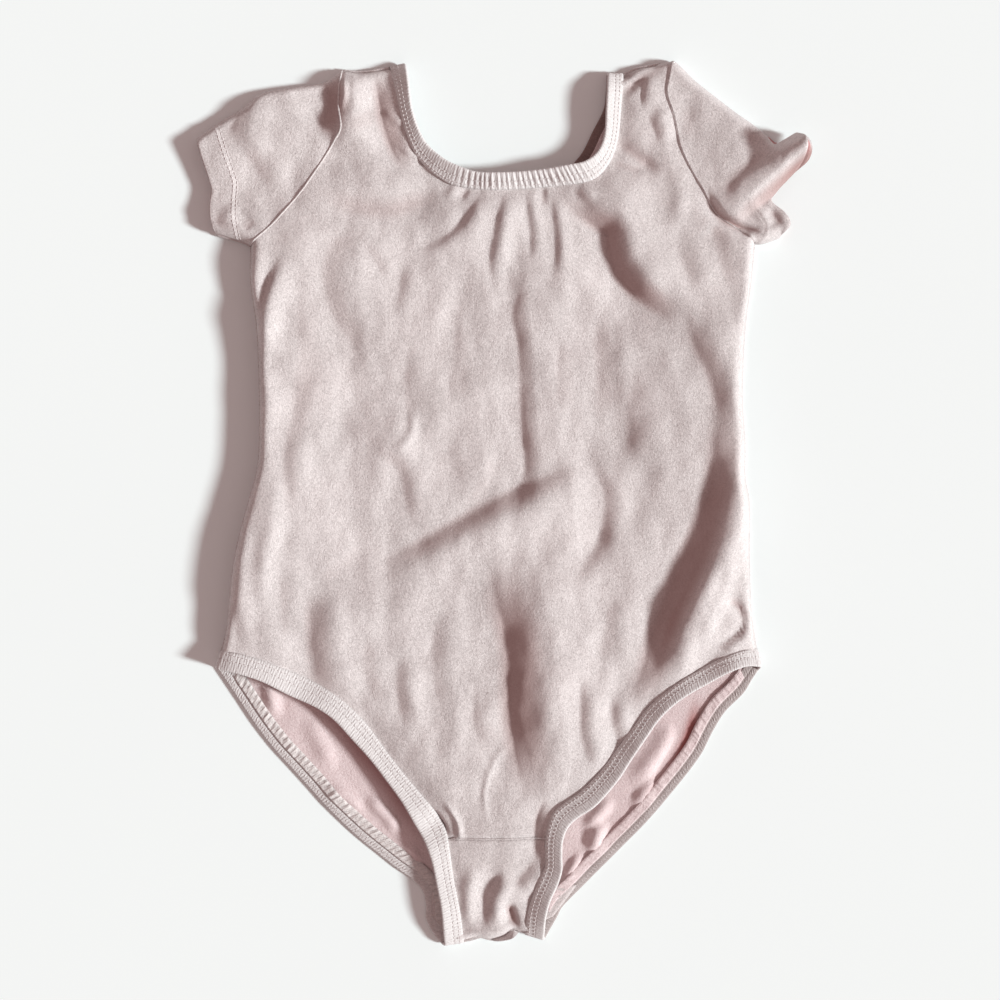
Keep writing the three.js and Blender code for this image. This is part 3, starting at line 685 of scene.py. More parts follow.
class Bench:
    """Makes meshes out of grids of places, and hands them to the frame."""

    def __init__(self, layout: Layout) -> None:
        """Keep the layout that every piece is placed with."""
        self.layout = layout

    def grid(self, work: bmesh.types.BMesh, lay: np.ndarray, marks: dict[str, np.ndarray]) -> None:
        """Add a grid laid over given places.

        Args:
            work: the mesh to add to.
            lay: places by row and column, in mm.
            marks: numbers that the finish reads, by row and column.
        """
        rows, columns = lay.shape[0] - 1, lay.shape[1] - 1
        places = self.layout.place(lay)
        layers = {key: work.verts.layers.float.get(key) or work.verts.layers.float.new(key) for key in marks}
        made = bmesh.ops.create_grid(work, x_segments=columns, y_segments=rows, size=0.5)["verts"]
        for vert in made:
            i, j = round((vert.co.x + 0.5) * columns), round((vert.co.y + 0.5) * rows)
            vert.co = places[j, i]
            for key, layer in layers.items():
                vert[layer] = float(marks[key][j, i])

    def finish(self, name: str, work: bmesh.types.BMesh, material: bpy.types.Material,
               upward: bool | None = True, thickness: float = 0.0) -> bpy.types.Object:
        """Turn a worked mesh into a piece.

        Args:
            name: the piece's name.
            work: its mesh, which is used up.
            material: its finish.
            upward: whether its faces look up, or None where it is closed and they look outwards.
            thickness: of the cloth in mm, or 0 where the mesh is already closed.

        Returns:
            The piece.
        """
        bmesh.ops.remove_doubles(work, verts=work.verts, dist=MERGE)
        if upward is None:
            bmesh.ops.recalc_face_normals(work, faces=work.faces)
        elif (sum(f.normal.z * f.calc_area() for f in work.faces) > 0) != upward:
            bmesh.ops.reverse_faces(work, faces=work.faces)
        mesh = bpy.data.meshes.new(name)
        work.to_mesh(mesh)
        work.free()
        mesh.polygons.foreach_set("use_smooth", [True] * len(mesh.polygons))
        mesh.materials.append(material)
        piece = bpy.data.objects.new(name, mesh)
        bpy.context.scene.collection.objects.link(piece)
        if thickness:
            solid = piece.modifiers.new("thickness", "SOLIDIFY")
            solid.thickness, solid.offset = thickness * MM, -1.0
        return piece


def hand_over(piece: bpy.types.Object, slot: str, nodes: Sequence[str], body: str | None = "torso") -> None:
    """Give a piece its body, and hide the CAD nodes that it stands for.

    Args:
        piece: the finished piece.
        slot: not used.
        nodes: CAD nodes that it replaces.
        body: the body that it rides on, or None to leave it unattached.
    """
    if body:
        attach(piece, body)
    if nodes:
        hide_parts(*nodes)
    log.info("%s: %d faces", piece.name, len(piece.data.polygons))


# --------------------------------------------------------------------------------------------------
# Finishes
# --------------------------------------------------------------------------------------------------


class Recipe:
    """Node tree of one material."""

    def __init__(self, name: str) -> None:
        """Start a material with its shader and output.

        Args:
            name: the material's name.
        """
        self.material = bpy.data.materials.new(name)
        self.material.use_nodes = True
        self.tree = self.material.node_tree
        self.tree.nodes.clear()
        self.shader = self.tree.nodes.new("ShaderNodeBsdfPrincipled")
        output = self.tree.nodes.new("ShaderNodeOutputMaterial")
        self.tree.links.new(self.shader.outputs["BSDF"], output.inputs["Surface"])
        self.where = self.tree.nodes.new("ShaderNodeTexCoord").outputs["Object"]

    def set(self, **numbers: object) -> None:
        """Set the shader's own sockets, an underscore standing for a space."""
        for key, value in numbers.items():
            self.shader.inputs[key.replace("_", " ")].default_value = value

    def mark(self, name: str) -> bpy.types.NodeSocket:
        """Number that the mesh carries.

        Args:
            name: the number's name.

        Returns:
            Its socket.
        """
        node = self.tree.nodes.new("ShaderNodeAttribute")
        node.attribute_name = name
        return node.outputs["Fac"]

    def noise(self, size: float, detail: float = 3.0, rough: float = 0.6,
              stretch: tuple[float, float, float] = (1, 1, 1)) -> bpy.types.NodeSocket:
        """Noise on the object's own coordinates.

        Args:
            size: of its features in mm.
            detail: how many finer layers it has.
            rough: their strength.
            stretch: how much closer it is along each axis.

        Returns:
            The noise from 0 to 1.
        """
        mapping = self.tree.nodes.new("ShaderNodeMapping")
        mapping.inputs["Scale"].default_value = stretch
        node = self.tree.nodes.new("ShaderNodeTexNoise")
        node.inputs["Scale"].default_value = 1000 / size
        node.inputs["Detail"].default_value = detail
        node.inputs["Roughness"].default_value = rough
        self.tree.links.new(self.where, mapping.inputs["Vector"])
        self.tree.links.new(mapping.outputs["Vector"], node.inputs["Vector"])
        return node.outputs["Fac"]

    def sum(self, *parts: tuple[bpy.types.NodeSocket | float, float]) -> bpy.types.NodeSocket:
        """Add weighted numbers.

        Args:
            parts: each number and its weight.

        Returns:
            Their sum.
        """
        total: bpy.types.NodeSocket | None = None
        for value, weight in parts:
            node = self.tree.nodes.new("ShaderNodeMath")
            node.operation = "MULTIPLY_ADD"
            self.feed(node.inputs[0], value)
            node.inputs[1].default_value = weight
            self.feed(node.inputs[2], total if total is not None else 0.0)
            total = node.outputs[0]
        return total

    def maths(self, operation: str, *values: bpy.types.NodeSocket | float) -> bpy.types.NodeSocket:
        """One step of arithmetic.

        Args:
            operation: its name.
            values: what it works on.

        Returns:
            The result.
        """
        node = self.tree.nodes.new("ShaderNodeMath")
        node.operation = operation
        for socket, value in zip(node.inputs, values):
            self.feed(socket, value)
        return node.outputs[0]

    def feed(self, socket: bpy.types.NodeSocket, value: object) -> None:
        """Link a socket, or set it where the value is a plain one.

        Args:
            socket: the socket to feed.
            value: another node's socket, or a number or colour.
        """
        if isinstance(value, bpy.types.NodeSocket):
            self.tree.links.new(value, socket)
        else:
            socket.default_value = value

    def band(self, value: bpy.types.NodeSocket, low: float, high: float) -> bpy.types.NodeSocket:
        """Stretch the span from low to high to 0 to 1.

        Args:
            value: the number to stretch.
            low: what becomes 0.
            high: what becomes 1.

        Returns:
            The stretched number.
        """
        node = self.tree.nodes.new("ShaderNodeMapRange")
        self.feed(node.inputs["Value"], value)
        node.inputs["From Min"].default_value = low
        node.inputs["From Max"].default_value = high
        return node.outputs["Result"]

    def blend(self, share: bpy.types.NodeSocket, first: object, second: object) -> bpy.types.NodeSocket:
        """Mix two colours.

        Args:
            share: of the second colour, from 0 to 1.
            first: colour or socket.
            second: colour or socket.

        Returns:
            The mixed colour.
        """
        node = self.tree.nodes.new("ShaderNodeMix")
        node.data_type = "RGBA"
        self.feed(node.inputs["Factor"], share)
        for key, value in (("A", first), ("B", second)):
            socket = next(s for s in node.inputs if s.name == key and s.type == "RGBA")
            self.feed(socket, value if isinstance(value, bpy.types.NodeSocket) else (*value, 1.0))
        return next(s for s in node.outputs if s.type == "RGBA")

    def bump(self, *layers: tuple[bpy.types.NodeSocket, float]) -> None:
        """Raise the surface.

        Args:
            layers: each height and how many mm it stands for.
        """
        normal: bpy.types.NodeSocket | None = None
        for height, depth in layers:
            node = self.tree.nodes.new("ShaderNodeBump")
            node.inputs["Strength"].default_value = 1.0
            node.inputs["Distance"].default_value = depth * MM
            self.feed(node.inputs["Height"], height)
            if normal is not None:
                self.feed(node.inputs["Normal"], normal)
            normal = node.outputs["Normal"]
        self.feed(self.shader.inputs["Normal"], normal)


@dataclass(frozen=True)
class BrushedJersey:
    """Cotton knit with a soft nap: a heather of paler and deeper fibres, with shade painted darker and redder
    into its folds.
    """

    name: str
    pale: Colour = (0.86, 0.772, 0.765)
    deep: Colour = (0.55, 0.485, 0.478)
    # colour of the painted shade in creases and on slopes turned from the key light
    painted_shade: Colour = (0.42, 0.255, 0.24)
    nap: float = 0.2

    def material(self) -> bpy.types.Material:
        """Build the cloth's material."""
        r = Recipe(self.name)
        fibre = r.noise(0.6, 2, 0.7)
        fleck = r.noise(1.3, 4, 0.8)
        streak = r.noise(2.6, 3, 0.6, (1.2, 0.85, 1))
        cloud = r.noise(38, 3, 0.5)
        heather = r.band(r.sum((fibre, 1.0), (fleck, 1.0), (streak, 0.35), (cloud, 0.45)), 1.16, 1.64)
        colour = r.blend(heather, self.deep, self.pale)
        # painted shade: mix towards the shade colour by the weight that the mesh carries from its creases
        depth = r.band(r.sum((r.mark("painted_shade"), 1.0), (fleck, 0.6)), 0.5, 4.2)
        r.feed(r.shader.inputs["Base Color"], r.blend(depth, colour, self.painted_shade))
        r.set(Roughness=0.93, Sheen_Weight=0.22, Sheen_Roughness=0.55, Specular_IOR_Level=0.18)
        wale = r.noise(0.8, 1, 0.5, (1.5, 0.35, 1))
        r.bump((streak, 0.16), (fleck, 0.55), (wale, 0.04), (fibre, self.nap))
        return r.material


@dataclass(frozen=True)
class BindingRib:
    """Folded jersey strip drawn up by its elastic into fine cross ribs."""

    name: str
    pale: Colour = (0.80, 0.745, 0.74)
    deep: Colour = (0.60, 0.545, 0.54)
    # colour of the shade painted on the back half of some bands
    painted_shade: Colour = (0.20, 0.11, 0.095)
    pitch: float = 1.7
    depth: float = 0.05

    def material(self) -> bpy.types.Material:
        """Build the band's material."""
        r = Recipe(self.name)
        fibre = r.noise(0.5, 2, 0.7)
        fleck = r.noise(1.4, 3, 0.7)
        along, across = r.mark("along"), r.mark("across")
        ribs = r.maths("SINE", r.sum((along, 2 * math.pi / self.pitch), (fleck, 3.4)))
        ladder = r.maths("SINE", r.sum((along, 2 * math.pi / 1.25), (across, 1.3), (fleck, 2.0)))
        groove = r.band(r.maths("ABSOLUTE", r.sum((across, 1.0), (1.0, -4.6))), 0.0, 0.8)
        tone = r.band(r.sum((fibre, 0.9), (fleck, 1.0), (ribs, 0.05), (ladder, 0.04)), 0.66, 1.24)
        # painted shade: darken towards the shade colour by the band's painted shade weight
        colour = r.blend(r.band(r.mark("painted_shade"), 0.0, 3.0), r.blend(tone, self.deep, self.pale), self.painted_shade)
        r.feed(r.shader.inputs["Base Color"], colour)
        r.set(Roughness=0.9, Sheen_Weight=0.2, Sheen_Roughness=0.5, Specular_IOR_Level=0.2)
        r.bump((groove, 0.2), (ribs, self.depth), (ladder, 0.035), (fleck, 0.25), (fibre, 0.12))
        return r.material


@dataclass(frozen=True)
class SewingThread:
    """Spun polyester thread, with the twist of its two plies."""

    name: str
    colour: Colour = (0.84, 0.75, 0.745)

    def material(self) -> bpy.types.Material:
        """Build the thread's material."""
        r = Recipe(self.name)
        twist = r.noise(0.35, 2, 0.6, (1, 1, 2.5))
        dark = tuple(0.78 * c for c in self.colour)
        r.feed(r.shader.inputs["Base Color"], r.blend(r.band(twist, 0.3, 0.7), dark, self.colour))
        r.set(Roughness=0.55, Sheen_Weight=0.1, Specular_IOR_Level=0.4)
        r.bump((twist, 0.12))
        return r.material


@dataclass(frozen=True)
class BraidedElastic:
    """Braided rubber elastic: white covering yarn with lengthwise cords."""

    name: str

    def material(self) -> bpy.types.Material:
        """Build the elastic's material."""
        r = Recipe(self.name)
        cords = r.maths("SINE", r.sum((r.mark("across"), 2 * math.pi / 0.9)))
        yarn = r.maths("SINE", r.sum((r.mark("along"), 2 * math.pi / 0.7)))
        weave = r.band(r.sum((cords, 1.0), (yarn, 0.6)), -1.4, 1.4)
        r.feed(r.shader.inputs["Base Color"], r.blend(weave, (0.62, 0.60, 0.57), (0.82, 0.81, 0.79)))
        r.set(Roughness=0.7, Specular_IOR_Level=0.3)
        r.bump((weave, 0.15))
        return r.material


@dataclass(frozen=True)
class TableTop:
    """Plain pale table, faintly uneven."""

    name: str = "pale_table"

    def material(self) -> bpy.types.Material:
        """Build the table's material."""
        r = Recipe(self.name)
        cloud = r.noise(300, 2, 0.5)
        r.feed(r.shader.inputs["Base Color"], r.blend(cloud, (0.925, 0.965, 0.965), (0.945, 0.985, 0.985)))
        r.set(Roughness=0.85, Specular_IOR_Level=0.1)
        return r.material


@dataclass
class Finishes:
    """The garment's materials."""

    jersey: bpy.types.Material
    # pinker copy of the jersey: painted bounced light and shade for the back layer
    inside: bpy.types.Material
    # deep red copy of the jersey: painted shade and bounced light inside the curled cuff
    cuff: bpy.types.Material
    binding: bpy.types.Material
    ruffle: bpy.types.Material
    lining: bpy.types.Material
    thread: bpy.types.Material
    elastic: bpy.types.Material

    @classmethod
    def mixed(cls) -> "Finishes":
        """Mix every finish once."""
        return cls(
            BrushedJersey("brushed_jersey").material(),
            # the inside is a pinker copy of the jersey, painting bounced light and shade
            BrushedJersey("jersey_inside_painted_light", pale=(0.88, 0.73, 0.73), deep=(0.72, 0.55, 0.55),
                          painted_shade=(0.42, 0.15, 0.14), nap=0.1).material(),
            # the cuff's inside is a deep red copy, painting shade and bounced light
            BrushedJersey("cuff_inside_painted_shade", pale=(0.70, 0.36, 0.36), deep=(0.56, 0.27, 0.27),
                          nap=0.1).material(),
            BindingRib("binding_rib").material(),
            BindingRib("ruffled_allowance", pale=(0.84, 0.75, 0.73), pitch=3.4, depth=0.2).material(),
            BrushedJersey("lining_jersey", pale=(0.80, 0.70, 0.69)).material(),
            SewingThread("spun_thread").material(),
            BraidedElastic("braided_elastic").material(),
        )


# --------------------------------------------------------------------------------------------------
# Panels
# --------------------------------------------------------------------------------------------------


@dataclass
class BodyPanel:
    """A layer of the body: one wide patch below the neck and a strap up to each shoulder."""

    name: str
    front: bool
    bench: Bench
    drape: Drape
    columns: tuple[int, int, int]
    rows: int
    strap_rows: int
    ply: float = 0.8
    tucked_in: float = 3.0
    seam_inset: float = 0.4
    back_inset: float = 2.0
    neck_drop: float = 1.0
    yoke_levels: tuple[float, float] = (181.0, 178.0)
    row_shares: tuple[float, float] = (0.11, 0.35)

    def neck(self) -> tuple[np.ndarray, np.ndarray, np.ndarray]:
        """Neck edge in three parts: down the left strap, across the bottom and up the right strap."""
        o = self.drape.outline
        if self.front:
            line = flowing(o.neck_inner, 400)
            opening = flowing(o.neck_open, 400)
            line = line + (opening - line) * self.tucked_in / BAND_WIDTH
        else:
            line = flowing([(x, y - self.neck_drop) for x, y in o.back_neck[::-1]], 400)
        low = np.nonzero(line[:, 1] < self.yoke_levels[0 if self.front else 1])[0]
        return line[: low[0] + 1], line[low[0]: low[-1] + 1], line[low[-1]:]

    def leg(self, left: bool) -> np.ndarray:
        """Leg edge from the hip down to the gusset.

        Args:
            left: which leg.

        Returns:
            The edge's points.
        """
        o = self.drape.outline
        if self.front:
            line = flowing(o.left_leg_inner if left else o.right_leg_inner, 400)
            opening = flowing(o.left_leg_open if left else o.right_leg_open, 400)
            line = line + (opening - line) * self.tucked_in / BAND_WIDTH
            return line[line[:, 1] > o.gusset_front]
        line = flowing(o.left_leg_back if left else o.right_leg_back, 400)
        line = line + squared(line) * (self.back_inset if left else -self.back_inset)
        return line[line[:, 1] > o.gusset_back]

    def side(self, left: bool, yoke: np.ndarray) -> np.ndarray:
        """Outer edge from the yoke's level down to the gusset, in even rows.

        Args:
            left: which side.
            yoke: where it starts.

        Returns:
            The edge's points.
        """
        o = self.drape.outline
        arm = flowing(o.left_underarm if left else o.right_underarm, 40)
        arm[0] = yoke
        seam = flowing(o.left_side if left else o.right_side, 120)
        seam = seam + np.array([self.seam_inset if left else -self.seam_inset, 0])
        leg = self.leg(left)
        above, below = (round(self.rows * share) for share in self.row_shares)
        parts = [even(arm, above + 1), even(seam, self.rows - above - below + 1), even(leg, below + 1)]
        parts[1][0], parts[1][-1] = parts[0][-1], parts[2][0]
        return chained(*parts)

    def build(self, finish: bpy.types.Material) -> bpy.types.Object:
        """Lay the layer out and mesh it.

        Args:
            finish: its material.

        Returns:
            The panel.
        """
        o = self.drape.outline
        left_neck, low_neck, right_neck = self.neck()
        arm_left, arm_right = flowing(o.left_armhole, 80), flowing(o.right_armhole, 80)
        a, b, c = self.columns
        yoke = [even(np.array([arm_left[-1], low_neck[0]]), a + 1), even(low_neck, b + 1),
                even(np.array([low_neck[-1], arm_right[-1]]), c + 1)]
        top = chained(*yoke)
        left, right = self.side(True, top[0]), self.side(False, top[-1])
        bottom = even(np.array([left[-1], right[-1]]), a + b + c + 1)
        body = patch(top, bottom, left, right)
        strap = self.strap_rows + 1
        straps = []
        for arm, neck, yoke_row, shoulder in (  # each strap's left and right edge
            (even(arm_left, strap), even(left_neck, strap), yoke[0], o.left_shoulder),
            (even(right_neck[::-1], strap), even(arm_right, strap), yoke[2], o.right_shoulder),
        ):
            ends = flowing(shoulder, len(yoke_row))
            ends[0], ends[-1] = arm[0], neck[0]
            straps.append(patch(ends, yoke_row, arm, neck))
        work = bmesh.new()
        for part in (body, *straps):
            self.lay_down(work, part)
        return self.bench.finish(self.name, work, finish, upward=self.front, thickness=self.ply)

    def lay_down(self, work: bmesh.types.BMesh, part: np.ndarray) -> None:
        """Give a flat patch its height and add it to the mesh.

        Args:
            work: the mesh to add to.
            part: the patch, row by row.
        """
        flat, shape = part.reshape(-1, 2), part.shape[:2]
        height, painted_shade = self.drape.front_layer(flat) if self.front else self.drape.back_layer(flat)
        self.bench.grid(work, np.dstack([part, height.reshape(shape)]), {"painted_shade": painted_shade.reshape(shape)})


@dataclass
class Gusset:
    """Crotch piece: from its front seam down over the fold and up to its back seam, with its lining."""

    bench: Bench
    drape: Drape
    columns: int = 44
    rows: int = 46
    ply: float = 0.8
    lining_gap: float = 1.1
    fold_ends: tuple[float, float] = (-28, 20)

    def lay(self, front: bool, spare: float) -> np.ndarray:
        """Places of one face of the gusset, from its seam to the fold.

        Args:
            front: which face.
            spare: how far it stays inside the outer ply.

        Returns:
            The places, row by row.
        """
        o = self.drape.outline
        start, end = self.fold_ends
        fold = even(flowing([m for m in o.crotch if start < m[0] < end], 60), self.columns + 1)
        if front:
            sides = []
            for inner, opening in ((o.left_leg_inner, o.left_leg_open),
                                   (o.right_leg_inner, o.right_leg_open)):
                line, edge = flowing(inner, 400), flowing(opening, 400)
                line = line + (edge - line) / 3
                sides.append(line[line[:, 1] <= o.gusset_front])
        else:
            sides = [np.array([(-40.5, o.gusset_back), (-41, -232), fold[0]]),
                     np.array([(41, o.gusset_back), (28, -232), fold[-1]])]
        along = np.sin(np.linspace(0, np.pi / 2, self.rows + 1))
        left, right = [picked(along, np.linspace(0, 1, 200), even(side, 200)) for side in sides]
        left[-1], right[-1] = fold[0], fold[-1]
        seam = even(np.array([left[0], right[0]]), self.columns + 1)
        flat = patch(seam, fold, left, right)
        points = flat.reshape(-1, 2)
        height = (self.drape.front(points) - spare) if front else (self.drape.back(points) + spare)
        return np.dstack([flat, height.reshape(flat.shape[:2])])

    def build(self, finishes: Finishes) -> list[bpy.types.Object]:
        """Make the gusset and its lining.

        Args:
            finishes: the garment's materials.

        Returns:
            The two pieces.
        """
        made = []
        for name, spare, finish in (("crotch_gusset", 0.0, finishes.jersey),
                                    ("crotch_lining", self.lining_gap, finishes.lining)):
            face, under = self.lay(True, spare), self.lay(False, spare)
            middle = (face[-1:, :, 2] + under[-1:, :, 2]) / 2
            face[-1, :, 2] = under[-1, :, 2] = middle
            whole = np.concatenate([face, under[-2::-1]])
            work = bmesh.new()
            self.bench.grid(work, whole, {"painted_shade": self.drape.depth(whole)})
            made.append(self.bench.finish(name, work, finish, upward=True, thickness=self.ply))
        return made


@dataclass
class Sleeve:
    """Set-in short sleeve, a flattened tube from the armhole to its hemmed cuff."""

    side: str
    bench: Bench
    drape: Drape
    around: int = 150
    along: int = 74
    ply: float = 0.8
    hem: float = 14.0
    hem_ply_gap: float = 0.9
    row_gap: float = 2.2
    armhole_tops: tuple[float, float] = (-89, 94)

    def edges(self, front: bool) -> tuple[np.ndarray, np.ndarray, np.ndarray, np.ndarray]:
        """Cuff, armhole, underarm fold and top fold, in plan.

        Args:
            front: which layer.

        Returns:
            The four edges: the first two from the underarm up, the others from the armhole out.
        """
        o = self.drape.outline
        left = self.side == "left"
        if left:
            arm = chained(flowing(o.left_armhole, 80), flowing(o.left_underarm, 50))[::-1]
            cuff, under = flowing(o.left_cuff, 120), flowing(o.left_sleeve_under, 60)
            top = flowing([m for m in o.left_top if m[0] < self.armhole_tops[0]][::-1], 120)
        else:
            arm = chained(flowing(o.right_armhole, 80), flowing(o.right_underarm, 50))[::-1]
            cuff = flowing(o.right_cuff if front else o.right_cuff_back, 120)
            under = flowing(o.right_sleeve_under, 60)
            top = flowing([m for m in o.right_top if m[0] > self.armhole_tops[1]], 120)
        arm[-1] = top[0]
        return cuff, arm, under, top

    def lay(self, spare: float, from_cuff: float | None = None) -> tuple[np.ndarray, np.ndarray]:
        """Places of the whole tube.

        Args:
            spare: how far it stays inside the outer ply.
            from_cuff: how much of the tube is wanted, in mm from the cuff, or None for all of it.

        Returns:
            The places by row out to the cuff and column around, and each one's distance from the cuff.
        """
        turn = np.linspace(0, 2 * np.pi, self.around + 1)
        across = (1 - np.cos(turn)) / 2
        half = self.around // 2
        faces = []
        for front in (True, False):
            cuff, arm, under, top = self.edges(front)
            share = across[: half + 1] if front else across[half:]
            out, whole = np.linspace(0, 1, self.along + 1), np.linspace(0, 1, 200)
            a, b = picked(share, whole, even(arm, 200)), picked(share, whole, even(cuff, 200))
            l, r = picked(out, whole, even(under, 200)), picked(out, whole, even(top, 200))
            u, v = share[None, :, None], out[:, None, None]
            flat = ((1 - u) * l[:, None] + u * r[:, None] + (1 - v) * a[None] + v * b[None]
                    - (1 - v) * ((1 - u) * arm[0] + u * arm[-1]) - v * ((1 - u) * cuff[0] + u * cuff[-1]))
            points = flat.reshape(-1, 2)
            high, low = self.drape.front(points), self.drape.back(points)
            room = np.minimum(spare, 0.3 * (high - low))
            height = high - room if front else low + room
            faces.append(np.dstack([flat, height.reshape(flat.shape[:2])]))
        for column_front, column_back in ((half, 0), (0, -1)):
            level = (faces[0][:, column_front, 2] + faces[1][:, column_back, 2]) / 2
            faces[0][:, column_front, 2] = faces[1][:, column_back, 2] = level
        whole = np.concatenate([faces[0], faces[1][:, 1:]], axis=1)
        steps = np.linalg.norm(np.diff(whole, axis=0), axis=2)
        run = np.concatenate([np.cumsum(steps[::-1], axis=0)[::-1], np.zeros((1, whole.shape[1]))])
        if from_cuff is not None:
            keep = int(np.ceil(from_cuff / run[0].max() * self.along))
            whole, run = whole[-keep - 1:-1], run[-keep - 1:-1]
        return whole, run

    def build(self, finishes: Finishes) -> list[bpy.types.Object]:
        """Make the sleeve, the turned-in ply of its hem and the hem's stitches.

        Args:
            finishes: the garment's materials.

        Returns:
            The pieces.
        """
        made = []
        outer, run = self.lay(0.0)
        thicker = 0.45 * (1 - smooth((run - self.hem + 0.6) / 1.2))
        outer[:, : self.around // 2, 2] += (thicker * smooth(run / 2))[:, : self.around // 2]
        for name, lay, finish in (
            (f"{self.side}_sleeve_tube", outer, finishes.jersey),
            # the hem ply wears the cuff finish, a deep red painted shade
            (f"{self.side}_hem_ply", self.lay(self.hem_ply_gap, self.hem * 1.6)[0], finishes.cuff),
        ):
            work = bmesh.new()
            self.bench.grid(work, lay, {"painted_shade": self.drape.depth(lay)})
            made.append(self.bench.finish(name, work, finish, upward=None, thickness=self.ply))
        made.append(self.stitches(outer, run, finishes.thread))
        return made

    def stitches(self, lay: np.ndarray, run: np.ndarray, finish: bpy.types.Material) -> bpy.types.Object:
        """Twin rows of stitches that hold the hem.

        Args:
            lay: the tube's places.
            run: each one's distance from the cuff.
            finish: the thread's material.

        Returns:
            The joined stitches.
        """
        sewing = Sewing(self.bench)
        for depth in (self.hem - self.row_gap / 2, self.hem + self.row_gap / 2):
            row = np.array([picked(-depth, -run[:, i], lay[:, i]) for i in range(lay.shape[1])])
            row[:, 2] += np.where(np.arange(len(row)) < self.around // 2, 0.16, -0.1)
            sewing.run(row, pitch=2.6, length=1.9, radius=0.26)
        return sewing.finish(f"{self.side}_hem_stitches", finish)


# --------------------------------------------------------------------------------------------------
# Stitches, seams and bindings
# --------------------------------------------------------------------------------------------------


class Sewing:
    """Gathers many small stitches into one piece."""

    def __init__(self, bench: Bench) -> None:
        """Start an empty piece."""
        self.bench = bench
        self.work = bmesh.new()

    def stitch(self, middle: np.ndarray, way: np.ndarray, length: float, radius: float) -> None:
        """Add one stitch.

        Args:
            middle: its middle, in mm.
            way: the direction it runs in.
            length: from end to end.
            radius: of the thread.
        """
        place = Vector(self.bench.layout.place(middle))
        turn = Vector(way).to_track_quat("Z", "Y").to_matrix().to_4x4()
        size = Matrix.Diagonal((radius * MM, radius * MM, length * 0.0005, 1))
        bmesh.ops.create_uvsphere(self.work, u_segments=5, v_segments=4, radius=1.0,
                                  matrix=Matrix.Translation(place) @ turn @ size)

    def run(self, line: np.ndarray, pitch: float, length: float, radius: float,
            swing: np.ndarray | None = None) -> None:
        """Sew along a line.

        Args:
            line: its points in mm.
            pitch: from stitch to stitch.
            length: of each stitch.
            radius: of the thread.
            swing: sideways throw of a zigzag at each point, or None for a straight row.
        """
        run = travelled(line, TINY)
        for index, at in enumerate(np.arange(pitch / 2, run[-1], pitch)):
            start, end = picked(at - length / 2, run, line), picked(at + length / 2, run, line)
            if swing is not None:
                side = picked(at, run, swing) * (1 if index % 2 else -1)
                start, end = start - side, end + side
            self.stitch((start + end) / 2, end - start, np.linalg.norm(end - start), radius)

    def finish(self, name: str, material: bpy.types.Material) -> bpy.types.Object:
        """Turn the stitches into a piece."""
        return self.bench.finish(name, self.work, material, upward=None)


@dataclass
class Bead:
    """Rounded ridge of a sewn seam, swept along a line."""

    name: str
    bench: Bench
    radius: float = 0.9
    sides: int = 8
    pitch: float = 2.4

    def build(self, line: np.ndarray, finish: bpy.types.Material, spacing: float = 1.0) -> bpy.types.Object:
        """Sweep the seam along its line.

        Args:
            line: the points that it follows, in mm.
            finish: its material.
            spacing: between its sections.

        Returns:
            The seam.
        """
        run = travelled(line)
        at = np.linspace(0, run[-1], max(4, int(run[-1] / spacing)) + 1)
        middle = picked(at, run, line)
        way = np.gradient(middle, axis=0)
        way /= np.linalg.norm(way, axis=1)[:, None] + TINY
        side = np.cross(way, (0, 0, 1.0))
        side /= np.linalg.norm(side, axis=1)[:, None] + 1e-6
        rise = np.cross(side, way)
        thick = self.radius * (1 + 0.10 * np.sin(2 * np.pi * at / self.pitch))
        thick *= np.minimum(1, np.minimum(at, run[-1] - at) / self.radius + 0.02)
        turn = np.linspace(0, 2 * np.pi, self.sides + 1)
        lay = (middle[:, None] + thick[:, None, None] * (np.cos(turn)[None, :, None] * side[:, None]
                                                         + np.sin(turn)[None, :, None] * rise[:, None]))
        work = bmesh.new()
        self.bench.grid(work, lay, {"painted_shade": np.zeros(lay.shape[:2])})
        bmesh.ops.remove_doubles(work, verts=work.verts, dist=MERGE)
        rims = [e for e in work.edges if e.is_boundary]
        bmesh.ops.holes_fill(work, edges=rims, sides=0)
        return self.bench.finish(self.name, work, finish, upward=None)


